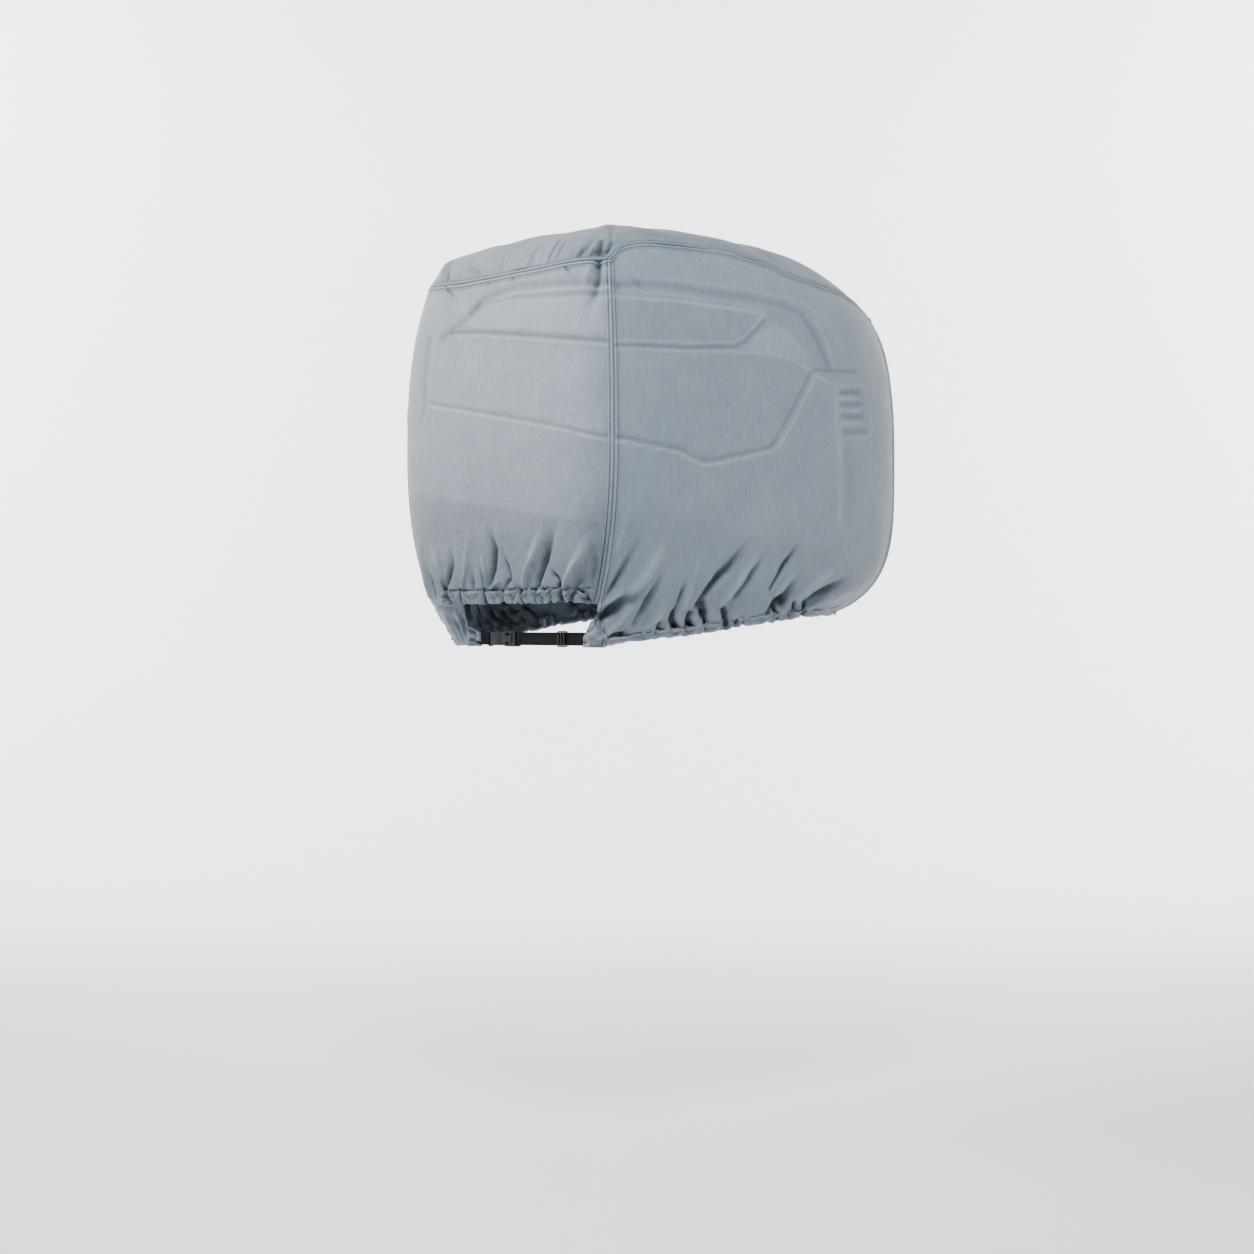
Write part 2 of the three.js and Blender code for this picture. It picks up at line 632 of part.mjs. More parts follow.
const socketBarY = socket.from + bar.size / 2;
const plugBarY = plug.to - bar.size / 2;
const starboardEnd = starboardTab.at(-1).y - strap.intoTab;
const portEnd = portTab.at(-1).y + strap.intoTab;
addPiece('strap_webbing_long', webbingPiece(starboardEnd, slider.from - 6, socketBarY, 1), webbing);
addPiece('strap_webbing_short', webbingPiece(portEnd, null, plugBarY, -1), webbing);

const keeper = moulded(slider.from, slider.to, slider.height, slider.thickness, 2);
addPiece('slider', geometryOf(keeper.subtract(
  block(slider.from - 5, slider.to + 5, strap.width + 0.7, strap.doubled + 0.7))), plastic);

// The socket takes the long webbing round the bar at its end, and the plug's tongue at the other
const socketSlot = block(socket.from + bar.size, socket.from + bar.size + bar.slot, bar.height, 30);
const barRoomOuter = block(socket.from - 5, socket.from + bar.size, bar.height, 30);
const socketBar = block(socket.from, socket.from + bar.size, socket.height - 4, bar.size);
const tongueRoom = block(
  socket.to - tongue.length, socket.to + 5, tongue.height + 0.8, tongue.thickness + 0.8);
addPiece('buckle_socket', geometryOf(
  moulded(socket.from, socket.to, socket.height, socket.thickness, 4)
    .subtract(socketSlot).subtract(barRoomOuter).subtract(tongueRoom).add(socketBar)), plastic);

// The plug takes the short webbing round the bar at its far end
const plugSlot = block(plug.to - bar.size - bar.slot, plug.to + 5, strap.width + 0.7, 30);
const plugBar = block(plug.to - bar.size, plug.to, plug.height + 4, bar.size);
const plugCheeks = block(plug.to - 14, plug.to, plug.height + 4, plug.thickness - 2)
  .subtract(block(plug.to - 20, plug.to + 5, strap.width + 0.7, 30));
addPiece('buckle_plug', geometryOf(
  moulded(plug.from, plug.to, plug.height, plug.thickness, 3)
    .subtract(plugSlot).add(plugCheeks).add(plugBar)
    .add(block(plug.from - tongue.length + 1, plug.from + 4, tongue.height, tongue.thickness))),
plastic);
addPiece('stay_webbing', stayGeometry(rearCloth), webbing);

export default group;
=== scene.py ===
import json
import math

import bmesh
import bpy
import numpy as np
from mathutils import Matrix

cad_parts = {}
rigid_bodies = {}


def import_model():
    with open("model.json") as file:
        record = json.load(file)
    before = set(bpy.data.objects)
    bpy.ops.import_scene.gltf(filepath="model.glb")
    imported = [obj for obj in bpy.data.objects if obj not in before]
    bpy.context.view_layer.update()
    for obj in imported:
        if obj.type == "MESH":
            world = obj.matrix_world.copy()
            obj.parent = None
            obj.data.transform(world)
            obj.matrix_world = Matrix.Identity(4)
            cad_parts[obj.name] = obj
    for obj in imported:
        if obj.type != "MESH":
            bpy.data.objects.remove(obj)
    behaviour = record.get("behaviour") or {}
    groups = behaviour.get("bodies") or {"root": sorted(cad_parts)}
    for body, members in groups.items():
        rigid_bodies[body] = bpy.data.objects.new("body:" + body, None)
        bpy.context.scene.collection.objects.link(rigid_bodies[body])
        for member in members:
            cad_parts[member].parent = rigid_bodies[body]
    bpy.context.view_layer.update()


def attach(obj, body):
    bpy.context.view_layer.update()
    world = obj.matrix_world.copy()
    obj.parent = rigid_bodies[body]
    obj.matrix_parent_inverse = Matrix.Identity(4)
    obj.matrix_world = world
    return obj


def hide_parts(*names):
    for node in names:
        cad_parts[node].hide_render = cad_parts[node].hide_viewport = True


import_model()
print("frame loaded")

# Sizes below are in millimetres, and heights are measured up from the side hem's level.
# The frame's own origin is under the crown, so a height of 760 lies at Z 0.
cover = {"length": 864, "width": 711, "height": 762, "originHeight": 760, "cloth": 1.3}


def mix(a, b, t):
    return a + (b - a) * t


def smooth(low, high, v):
    t = np.clip((np.asarray(v, float) - low) / (high - low), 0, 1)
    return t * t * (3 - 2 * t)


def bell(distance, width):
    return np.exp(-(distance / width) ** 2)


def through(u, values):  # a smooth line through evenly spaced values, level at both ends
    values = np.array(values, float)
    last = len(values) - 1
    t = np.clip((np.asarray(u, float) + 1) / 2 * last, 0, last - 1e-9)
    i = t.astype(int)
    f = t - i
    value = lambda k: values[np.clip(k, 0, last)]
    slopeA = np.where(i > 0, (value(i + 1) - value(i - 1)) / 2, 0)
    slopeB = np.where(i + 1 < last, (value(i + 2) - value(i)) / 2, 0)
    f2, f3 = f * f, f * f * f
    return ((2 * f3 - 3 * f2 + 1) * value(i) + (f3 - 2 * f2 + f) * slopeA
            + (3 * f2 - 2 * f3) * value(i + 1) + (f3 - f2) * slopeB)


def unit(vectors):
    return vectors / np.maximum(np.linalg.norm(vectors, axis=-1, keepdims=True), 1e-12)


def lengthsAlong(points):
    steps = np.linalg.norm(np.diff(points, axis=0), axis=-1)
    return np.concatenate([[0], np.cumsum(steps)])


def inMetres(points):
    points = np.asarray(points, float)
    return (points - [0, 0, cover["originHeight"]]) / 1000


class Wire:  # one socket of a node tree; sums and products of wires add their Math nodes
    def __init__(self, tree, socket=None):
        self.tree = tree
        self.socket = socket

    def node(self, kind, settings, sockets, output=0):
        made = self.tree.nodes.new(kind)
        for name, value in settings.items():
            setattr(made, name, value)
        for name, value in sockets.items():
            if isinstance(value, Wire):
                self.tree.links.new(value.socket, made.inputs[name])
            else:
                made.inputs[name].default_value = value
        return Wire(self.tree, made.outputs[output]) if made.outputs else None

    def math(self, operation, *values):
        return self.node("ShaderNodeMath", {"operation": operation}, dict(enumerate(values)))

    def __add__(self, other):
        return self.math("ADD", self, other)

    def __radd__(self, other):
        return self.math("ADD", other, self)

    def __sub__(self, other):
        return self.math("SUBTRACT", self, other)

    def __rsub__(self, other):
        return self.math("SUBTRACT", other, self)

    def __mul__(self, other):
        return self.math("MULTIPLY", self, other)

    def __rmul__(self, other):
        return self.math("MULTIPLY", other, self)

    def sine(self):
        return self.math("SINE", self)

    def within(self, low, high):
        return self.node("ShaderNodeClamp", {}, {"Value": self, "Min": low, "Max": high})

    def blend(self, low, high):  # a colour between two, by this wire
        return self.node("ShaderNodeMix", {"data_type": "RGBA"}, {0: self, 6: low, 7: high}, 2)

    def bumped(self, distance, strength=1.0, onto=None):
        sockets = {"Height": self, "Distance": distance, "Strength": strength}
        if onto is not None:
            sockets["Normal"] = onto
        return self.node("ShaderNodeBump", {}, sockets)


def newMaterial(name):
    made = bpy.data.materials.new(name)
    made.use_nodes = True
    made.node_tree.nodes.clear()
    return made, Wire(made.node_tree)


def finishMaterial(start, sockets):
    shader = start.node("ShaderNodeBsdfPrincipled", {}, sockets)
    start.node("ShaderNodeOutputMaterial", {}, {"Surface": shader})


def noise(start, vector, scale, detail=3, roughness=0.5, distortion=0.0):
    return start.node("ShaderNodeTexNoise", {"noise_dimensions": "3D"}, {
        "Vector": vector, "Scale": scale, "Detail": detail, "Roughness": roughness,
        "Distortion": distortion})


def separate(start, place):  # the first two parts of a place
    return [start.node("ShaderNodeSeparateXYZ", {}, {"Vector": place}, k) for k in (0, 1)]


def mapped(start, place, scale, angle=0.0):
    return start.node("ShaderNodeMapping", {}, {
        "Vector": place, "Rotation": (0, 0, angle), "Scale": scale})


def weavePlace(start):
    return start.node("ShaderNodeUVMap", {"uv_map": "weave"}, {})


def objectPlace(start):
    return start.node("ShaderNodeTexCoord", {}, {}, 3)


clothFinish = {
    "dark": (0.028, 0.041, 0.056, 1), "light": (0.375, 0.441, 0.512, 1),
    "yarnsPerMetre": 900, "yarnScale": 420, "hatchScale": 190,
    "slub": 0.065, "mottle": 0.095, "crinkle": 0.14, "hatch": 0.13, "tone": 0.24,
    "crumpleDepth": 0.003, "crinkleDepth": 0.0009, "weaveDepth": 0.00022,
    "roughness": 0.62, "sheen": 0.18, "sheenRoughness": 0.45, "specular": 0.35,
}


def coatedCloth(finish):
    material, start = newMaterial("coatedCloth")
    place = weavePlace(start)
    along, up = separate(start, place)
    turns = 2 * math.pi * finish["yarnsPerMetre"]
    weave = (along * turns).sine() * (up * turns).sine()
    warp, weft = (noise(start, mapped(start, place, scale), finish["yarnScale"], 2)
                  for scale in ((1, 0.12, 1), (0.12, 1, 1)))
    hatchOne, hatchTwo = (noise(start, mapped(start, place, (1, 0.14, 1), angle),
                                finish["hatchScale"], 2, 0.55, 0.6) for angle in (0.78, -0.72))
    yarns = warp + weft
    hatch = hatchOne + hatchTwo
    solid = objectPlace(start)
    mottle = noise(start, solid, 9, 4, 0.6)
    crinkle = noise(start, solid, 95, 4, 0.62, 1.6)
    crumple = noise(start, solid, 26, 3, 0.55, 2.2)
    tone = start.node("ShaderNodeAttribute", {"attribute_name": "tone"}, {}, 2)
    shade = (0.5 + (yarns - 1.0) * finish["slub"] * 2 + (mottle - 0.5) * finish["mottle"] * 2
             + (crinkle - 0.5) * finish["crinkle"] + (hatch - 1.0) * finish["hatch"]
             + tone * finish["tone"])
    normal = crumple.bumped(finish["crumpleDepth"], 0.5)
    normal = (crinkle + hatch * 0.5).bumped(finish["crinkleDepth"], 0.7, normal)
    normal = (weave * 0.5 + yarns * 0.5).bumped(finish["weaveDepth"], 0.6, normal)
    finishMaterial(start, {
        "Base Color": shade.within(0, 1).blend(finish["dark"], finish["light"]),
        "Roughness": finish["roughness"] + (mottle - 0.5) * 0.16, "Normal": normal,
        "Sheen Weight": finish["sheen"], "Sheen Roughness": finish["sheenRoughness"],
        "Specular IOR Level": finish["specular"]})
    return material


webbingFinish = {
    "dark": (0.0015, 0.0018, 0.0024, 1), "light": (0.008, 0.009, 0.0115, 1),
    "chevronTurns": 2400, "zigzagTurns": 900, "ribTurns": 4200, "fuzzScale": 900,
    "chevron": 0.14, "fuzz": 0.7, "depth": 0.0005, "roughness": 0.72, "specular": 0.12,
}


def webbingWeave(finish):
    material, start = newMaterial("webbingWeave")
    place = weavePlace(start)
    along, across = separate(start, place)
    zigzag = (across * finish["zigzagTurns"]).sine() * 1.4
    chevron = (along * finish["chevronTurns"] + zigzag).sine()
    ribs = (across * finish["ribTurns"]).sine()
    fuzz = noise(start, place, finish["fuzzScale"], 3, 0.6)
    shade = 0.5 + chevron * finish["chevron"] + (fuzz - 0.5) * finish["fuzz"]
    finishMaterial(start, {
        "Base Color": shade.within(0, 1).blend(finish["dark"], finish["light"]),
        "Roughness": finish["roughness"] + (fuzz - 0.5) * 0.2,
        "Normal": (chevron * 0.5 + ribs * 0.5 + fuzz * 0.6).bumped(finish["depth"], 0.8),
        "Specular IOR Level": finish["specular"]})
    return material


plasticFinish = {
    "dark": (0.004, 0.0045, 0.0055, 1), "light": (0.011, 0.012, 0.014, 1), "grainScale": 1400,
    "wearScale": 60, "wear": 1.2, "depth": 0.00008, "roughness": 0.42, "specular": 0.3,
}


def mouldedPlastic(finish):
    material, start = newMaterial("mouldedPlastic")
    place = objectPlace(start)
    grain = noise(start, place, finish["grainScale"], 2, 0.6)
    wear = noise(start, place, finish["wearScale"], 4, 0.6)
    shade = 0.5 + (wear - 0.5) * finish["wear"]
    finishMaterial(start, {
        "Base Color": shade.within(0, 1).blend(finish["dark"], finish["light"]),
        "Roughness": finish["roughness"] + (wear - 0.5) * 0.25,
        "Normal": grain.bumped(finish["depth"], 0.6), "Specular IOR Level": finish["specular"]})
    return material


threadFinish = {
    "dark": (0.020, 0.025, 0.032, 1), "light": (0.05, 0.058, 0.07, 1), "twistScale": 2200,
    "depth": 0.0001, "roughness": 0.55,
}


def sewingThread(finish):
    material, start = newMaterial("sewingThread")
    twist = noise(start, objectPlace(start), finish["twistScale"], 2, 0.5)
    finishMaterial(start, {
        "Base Color": twist.within(0, 1).blend(finish["dark"], finish["light"]),
        "Roughness": finish["roughness"], "Normal": twist.bumped(finish["depth"], 0.5)})
    return material


clothLook = coatedCloth(clothFinish)
webbingLook = webbingWeave(webbingFinish)
plasticLook = mouldedPlastic(plasticFinish)
threadLook = sewingThread(threadFinish)
print("materials made")

# The camera's place in metres, its turn and pitch in degrees and its focal length in millimetres
view = {"eye": (-3.0443, -3.4336, -0.7541), "turn": -40.777, "focal": 64.595, "pitch": 0.077}


def addCamera():
    lens = bpy.data.cameras.new("camera")
    lens.sensor_width = 36
    lens.lens = view["focal"]
    lens.clip_end = 60
    camera = bpy.data.objects.new("camera", lens)
    camera.location = view["eye"]
    camera.rotation_euler = (math.radians(90 - view["pitch"]), 0, math.radians(view["turn"]))
    bpy.context.scene.collection.objects.link(camera)
    bpy.context.scene.camera = camera


lights = [
    {"name": "key", "at": (-1.75, 0.95, 0.6), "aim": (0, 0, -0.4), "size": 0.8, "power": 50,
     "tint": (1.0, 0.99, 0.97)},
    {"name": "fill", "at": (-1.75, -1.95, 1.9), "aim": (0, 0, -0.4), "size": 0.9, "power": 145,
     "tint": (0.97, 0.985, 1.0)},
    {"name": "backdrop", "at": (5.2, 0.2, 2.6), "aim": (7.5, 7.0, -0.6), "size": 2.6, "power": 620,
     "tint": (1, 1, 1)},
    {"name": "backdropLeft", "at": (-0.6, 5.4, 2.6), "aim": (6.5, 8.5, -0.6), "size": 2.6,
     "power": 620, "tint": (1, 1, 1)},
]
sky = {"colour": (0.92, 0.955, 1.0, 1), "strength": 0.16}


def addLights():
    for row in lights:
        lamp = bpy.data.lights.new(row["name"], "AREA")
        lamp.shape = "DISK"
        lamp.size = row["size"]
        lamp.energy = row["power"]
        lamp.color = row["tint"]
        holder = bpy.data.objects.new(row["name"], lamp)
        at = np.array(row["at"], float)
        holder.location = at
        aim = unit(np.array(row["aim"], float) - at)
        holder.rotation_euler = (math.acos(-aim[2]), 0, math.atan2(aim[1], aim[0]) - math.pi / 2)
        bpy.context.scene.collection.objects.link(holder)
    world = bpy.data.worlds.new("sky")
    world.use_nodes = True
    background = world.node_tree.nodes["Background"]
    background.inputs["Color"].default_value = sky["colour"]
    background.inputs["Strength"].default_value = sky["strength"]
    bpy.context.scene.world = world


# Studio paper all round, in metres: flat in the middle, then bent up into a wall, grey at one end as
# painted shade. It glows as painted light, brighter towards its pale end.
floorSheet = {
    "level": -1.83, "reach": 8.0, "bend": 3.5, "top": 6.5, "sides": 72, "bendSteps": 24,
    "pale": 0.86, "shaded": 0.30, "shadedFrom": -3.2, "paleFrom": -0.9, "glow": 0.30,
}


def ringFaces(rows, columns):  # the faces between rings of points that lie one after another
    ring = [(c, (c + 1) % columns) for c in range(columns)]
    return [(r * columns + c, r * columns + d, (r + 1) * columns + d, (r + 1) * columns + c)
            for r in range(rows - 1) for c, d in ring]


def addFloor():
    radius, level, sides = floorSheet["bend"], floorSheet["level"], floorSheet["sides"]
    flat = floorSheet["reach"] - radius
    profile = [(flat * share, level) for share in (0.12, 0.4, 0.7)]
    for step in range(floorSheet["bendSteps"] + 1):
        angle = step / floorSheet["bendSteps"] * math.pi / 2
        profile.append((flat + radius * math.sin(angle), level + radius * (1 - math.cos(angle))))
    profile.append((floorSheet["reach"], floorSheet["top"]))
    turns = [2 * math.pi * k / sides for k in range(sides)]
    points = [(r * math.cos(turn), r * math.sin(turn), z) for r, z in profile for turn in turns]
    faces = ringFaces(len(profile), sides)
    faces.append(tuple(reversed(range(sides))))
    mesh = bpy.data.meshes.new("studioPaper")
    mesh.from_pydata(points, [], faces)
    mesh.shade_smooth()
    paper = bpy.data.objects.new("studioPaper", mesh)
    bpy.context.scene.collection.objects.link(paper)
    material, start = newMaterial("studioPaper")
    place = objectPlace(start)
    x, y = separate(start, place)
    low, high = floorSheet["shadedFrom"], floorSheet["paleFrom"]
    paler = ((x * 0.653 + y * 0.757 - low) * (1 / (high - low))).within(0, 1)
    grain = (noise(start, place, 3, 3) - 0.5) * 0.04 + paler
    pale, shaded = floorSheet["pale"], floorSheet["shaded"]
    finishMaterial(start, {
        "Base Color": grain.within(0, 1).blend((shaded, shaded, shaded, 1),
                                               (pale, pale * 1.005, pale * 1.01, 1)),
        "Roughness": 0.9, "Emission Color": paler.blend((0.4, 0.4, 0.4, 1), (0.97, 0.985, 1, 1)),
        "Emission Strength": floorSheet["glow"]})
    mesh.materials.append(material)


addCamera()
addLights()
addFloor()
print("camera, lights and floor made")

# The cloth shell is a box blown up round its centre. A point is named by its place on the box,
# whose faces are at -1 and 1: x = -1 is the rear, y = -1 starboard, z = 1 the roof, z = 0 the waist.
shell = {
    "waist": 342.5, "planRear": 6.9, "planNose": 4.6, "planRearAtRoof": 6.0, "planNoseAtRoof": 5.8,
    "shoulderRear": 9.0, "shoulderNose": 2.8, "shoulderSide": [8.8, 9.9, 5.7, 3.2],
    "bellyRoundness": [2.17, 3.65, 4.02], "bellyDepth": [449.8, 402, 341],
    "tuckX": [0.19, 1, 1], "tuckY": [0.95, 1, 1],
    "leanX": 0.068, "leanY": 0.175, "leanPower": 2.5,
    "seamRear": 1.26, "seamNose": 1, "seamSide": [1.05, 1.08, 1.093, 1.155, 1.16],
    "seamDip": 0.034, "seamCorner": 0.06,  # the starboard roof seam sags and drops to its corner
    "hemSide": [-38, -20, 4, 18, 22], "hemNose": 22,
    "lobeTop": 44, "lobeBottom": -38, "lobeShift": -50, "lobeInset": 31,
}


def around(x, y):
    m = np.maximum(np.maximum(np.abs(x), np.abs(y)), 1e-9)
    return m, x / m, y / m


def seamDrop(u, v):
    level = mix(shell["seamRear"], shell["seamNose"], smooth(-1, 1, u))
    starboard = np.where(v < 0, 1.0, 0.0)
    dip = shell["seamDip"] * smooth(0.05, 0.17, u) * smooth(0.62, 0.22, u) * starboard
    corner = shell["seamCorner"] * smooth(-0.91, -1, u) * starboard
    return mix(level, through(u, shell["seamSide"]) + dip + corner, v ** 4)


def planReach(dx, dy, exponent):
    m = np.maximum(np.maximum(np.abs(dx), np.abs(dy)), 1e-9)
    return m * ((np.abs(dx) / m) ** exponent + (np.abs(dy) / m) ** exponent) ** (1 / exponent)


def upperShell(x, y, z, onRoof=False):
    x, y, z = np.broadcast_arrays(np.asarray(x, float), np.asarray(y, float), np.asarray(z, float))
    m, u, v = around(x, y)
    drop = seamDrop(u, v)
    spreading = 1 + (drop - 1) * m * m if onRoof else 1.0
    dx, dy = x * spreading, y * spreading
    dz = np.ones_like(x) if onRoof else z / drop
    far = np.maximum(np.maximum(np.abs(dx), np.abs(dy)), 1e-9)
    nose = smooth(-0.6, 1, u)
    low = mix(shell["planRear"], shell["planNose"], nose)
    high = mix(shell["planRearAtRoof"], shell["planNoseAtRoof"], nose)
    reach = np.maximum(planReach(dx, dy, mix(low, high, smooth(0.3, 1, dz / far))), 1e-9)
    level = mix(shell["shoulderRear"], shell["shoulderNose"], smooth(-1, 1, u))
    n = mix(level, through(u, shell["shoulderSide"]), v ** 4)
    steep = dz / reach
    capped = np.minimum(steep, 1 / np.maximum(steep, 1e-9))
    flat = (1 + capped ** n) ** (-1 / n)
    out = np.where(steep > 1, flat * capped, flat)
    up = np.where(steep > 1, flat, flat * capped)
    leaning = up ** shell["leanPower"]
    return np.stack([
        dx / reach * out * cover["length"] / 2 * (1 - shell["leanX"] * leaning * smooth(1, -0.5, u)),
        dy / reach * out * cover["width"] / 2 * (1 - shell["leanY"] * leaning),
        shell["waist"] + up * (cover["height"] - shell["waist"])], -1)


def lowerShell(x, y, height):
    x, y, height = np.broadcast_arrays(
        np.asarray(x, float), np.asarray(y, float), np.asarray(height, float))
    _, u, _ = around(x, y)
    n = through(u, shell["bellyRoundness"])
    down = np.clip((shell["waist"] - height) / through(u, shell["bellyDepth"]), 0, 0.985)
    out = (1 - down ** n) ** (1 / n)
    reach = planReach(x, y, mix(shell["planRear"], shell["planNose"], smooth(-0.6, 1, u)))
    px = x / reach * cover["length"] / 2 * (1 - (1 - out) * through(u, shell["tuckX"]))
    py = y / reach * cover["width"] / 2 * (1 - (1 - out) * through(u, shell["tuckY"]))
    atCorner = np.where(y < 0, smooth(-0.72, -1, u) * np.abs(y) ** 8, 0)
    shift = shell["lobeShift"] * smooth(shell["lobeTop"], shell["lobeBottom"], height) * atCorner
    onLobe = (x < 0) & (y > 0) & (height < shell["lobeTop"] - 1)
    beside = np.where(onLobe, -y / np.minimum(x, -1e-9), 2)
    return np.stack([px + shell["lobeInset"] * smooth(1, 0.5, beside), py + shift, height], -1)


# A seam is a doubled band on each side of its join, with a row of stitches drawn in. Widths and
# places are distances from the join; the tones are painted shade and highlight: how much lighter the
# cloth is painted there.
seamShape = {
    "band": 2.0, "bandWidth": 10.5, "join": 2.0, "joinWidth": 1.1, "ridge": 1.0, "ridgeAt": 3.6,
    "ridgeWidth": 1.9, "row": 1.6, "rowAt": 7.2, "rowWidth": 1.1,
    "tones": [(0, 1.0, -0.6), (7.2, 1.15, -1.15), (11.2, 1.2, -0.3), (3.6, 1.8, 0.42),
              (9.4, 0.8, 0.2)],
    "places": [0, 0.7, 1.4, 2.2, 3.0, 3.8, 4.7, 5.6, 6.3, 7.0, 7.7, 8.5, 9.4, 10.4, 11.6, 13, 15,
               17.5, 20.5, 24],
}


def seamLift(distance):
    edge = seamShape["bandWidth"]
    band = seamShape["band"] * smooth(edge + 1, edge - 1.2, distance)
    return (band - seamShape["join"] * bell(distance, seamShape["joinWidth"])
            + seamShape["ridge"] * bell(distance - seamShape["ridgeAt"], seamShape["ridgeWidth"])
            - seamShape["row"] * bell(distance - seamShape["rowAt"], seamShape["rowWidth"]))


def seamTone(distance):  # painted shade at the join, the row and the band's edge, and painted highlight on the ridge and near the band's edge
    return sum(tone * bell(distance - place, width) for place, width, tone in seamShape["tones"])


def spread(total, count, nearEnd=True):
    # Places along a panel: close together at its seams, and count even steps between
    start = list(seamShape["places"])
    end = [total - d for d in reversed(start) if nearEnd]
    middle = np.linspace(start[-1], end[0] if end else total, count + 1)
    return np.array(start[:-1] + list(middle) + end[1:])


def facing(points, outside):  # the direction out of the cloth at each point of a grid
    normal = unit(np.cross(np.gradient(points, axis=1), np.gradient(points, axis=0)))
    return -normal if np.sum(normal * outside) < 0 else normal


def rimDistances(points):
    across = np.linalg.norm(np.diff(points, axis=1), axis=-1)
    left = np.concatenate([np.zeros((points.shape[0], 1)), np.cumsum(across, 1)], 1)
    down = np.linalg.norm(np.diff(points, axis=0), axis=-1)
    top = np.concatenate([np.zeros((1, points.shape[1])), np.cumsum(down, 0)], 0)
    return {"left": left, "right": left[:, -1:] - left, "top": top, "bottom": top[-1:] - top}


def nearestOnPath(at, height, path):
    # The squared distance to a path of straight runs, and how far along it that is, from 0 to 1
    path = np.array(path, float)
    lengths = lengthsAlong(path)
    best = np.full(at.shape, 1e9)
    along = np.zeros_like(at)
    for a, b, start in zip(path[:-1], path[1:], lengths):
        run = b - a
        t = np.clip(((at - a[0]) * run[0] + (height - a[1]) * run[1]) / (run @ run), 0, 1)
        distance = (at - a[0] - t * run[0]) ** 2 + (height - a[1] - t * run[1]) ** 2
        nearer = distance < best
        best = np.where(nearer, distance, best)
        along = np.where(nearer, start + t * np.linalg.norm(run), along)
    return best, along / lengths[-1]


def foldField(at, height, rows):
    # Each fold is a soft ridge or trough along its path, wider and weaker towards its far end
    total = np.zeros_like(at)
    for path, rise, width in rows:
        best, along = nearestOnPath(at, height, path)
        reach = width * (0.5 + 1.1 * along ** 0.8)
        deep = np.minimum(abs(rise) * (1 - smooth(0.12, 1.0, along)), 1.15 * reach)
        total += np.sign(rise) * deep * np.exp(-best / (reach * reach))
    return total


def pressField(at, height, rows):  # lines of even breadth, each with its relief and its painted light and shade
    relief = np.zeros_like(at)
    tone = np.zeros_like(at)
    for path, rise, width, light in rows:
        shape = np.exp(-nearestOnPath(at, height, path)[0] / (width * width))
        relief += rise * shape
        tone += light * shape
    return relief, tone


# Areas painted lighter and darker, as painted light and shade
def toneAreas(at, height, rows):
    tone = np.zeros_like(at)
    for outline, light, soft in rows:
        closed = np.array(outline + outline[:1], float)
        inside = np.zeros(at.shape, bool)
        for a, b in zip(closed[:-1], closed[1:]):
            if abs(b[1] - a[1]) > 1e-9:
                crossing = a[0] + (height - a[1]) / (b[1] - a[1]) * (b[0] - a[0])
                inside ^= ((a[1] > height) != (b[1] > height)) & (at < crossing)
        away = np.sqrt(nearestOnPath(at, height, closed)[0])
        tone += light * smooth(-soft, soft, np.where(inside, 1, -1) * away)
    return tone


def gathers(at, above, creases, depth, reach):
    # Pinched creases that start at the elastic and open out above it, with the cloth bulging between
    creases = np.sort(np.array(creases, float))
    chance = np.random.default_rng(int(abs(creases).sum()))
    total = np.zeros_like(at)
    fade = np.exp(-np.clip(above, 0, None) / reach)
    for crease in creases:
        slant = chance.uniform(-0.2, 0.35)
        strength = chance.uniform(0.55, 1.15)
        width = 2.6 + np.clip(above, 0, 200) * chance.uniform(0.08, 0.14)
        distance = np.abs(at - crease - slant * above)
        total -= depth * strength * fade * np.exp(-(distance / width) ** 1.25)
    middle = (creases[1:] + creases[:-1]) / 2
    for place, gap in zip(middle, np.diff(creases)):
        lift = min(1.0, gap / 26)
        total += 0.55 * depth * lift * fade * bell(at - place, gap * 0.42 + 0.02 * above)
    return total


def ripples(at, height, seed, size, rise):
    chance = np.random.default_rng(seed)
    total = np.zeros_like(at)
    for _ in range(9):
        angle = chance.uniform(0, math.pi)
        wave = 2 * math.pi / (size * chance.uniform(0.6, 1.9))
        phase = chance.uniform(0, 6.28)
        drift = 0.6 * np.sin((at * 0.011 + height * 0.017) * chance.uniform(0.6, 1.6) + phase)
        total += np.sin((at * math.cos(angle) + height * math.sin(angle)) * wave + phase + 2 * drift)
    return rise * total / 3


def puckers(along, distance, seed, pitch, length, depth, width=2.6):
    # Short wrinkles that run away from a row of stitches
    chance = np.random.default_rng(seed)
    total = np.zeros_like(along)
    place = along.min() + chance.uniform(0, pitch)
    while place < along.max():
        reach = length * chance.uniform(0.4, 1.5)
        slant = chance.uniform(-0.5, 0.5)
        across = along - place - slant * (distance - 9)
        fade = smooth(7.5, 10, distance) * bell(np.clip(distance - 10, 0, None), reach)
        wide = width * chance.uniform(0.7, 1.5)
        total += depth * chance.uniform(-1.3, 0.5) * fade * bell(across, wide)
        place += pitch * chance.uniform(0.45, 1.7)
    return total


def paintedFoldShading(relief):  # painted shade in the troughs and painted highlight on the ridges
    return -1.2 * smooth(-0.5, -11, relief) + 0.45 * smooth(0.5, 9, relief)


def nearestCrease(at, creases):
    return np.min(np.abs(np.asarray(at)[..., None] - np.array(creases, float)), -1)


def scallops(at, creases, lift):  # the hem is drawn up a little at each crease
    return lift * (bell(nearestCrease(at, creases), 6) - 0.3)


def addPiece(name, mesh, look, node, sharpFrom=None):
    mesh.shade_smooth()
    if sharpFrom:
        mesh.set_sharp_from_angle(angle=math.radians(sharpFrom))
    mesh.materials.append(look)
    made = bpy.data.objects.new(name, mesh)
    bpy.context.scene.collection.objects.link(made)
    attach(made, "root")
    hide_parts(node)
    return made


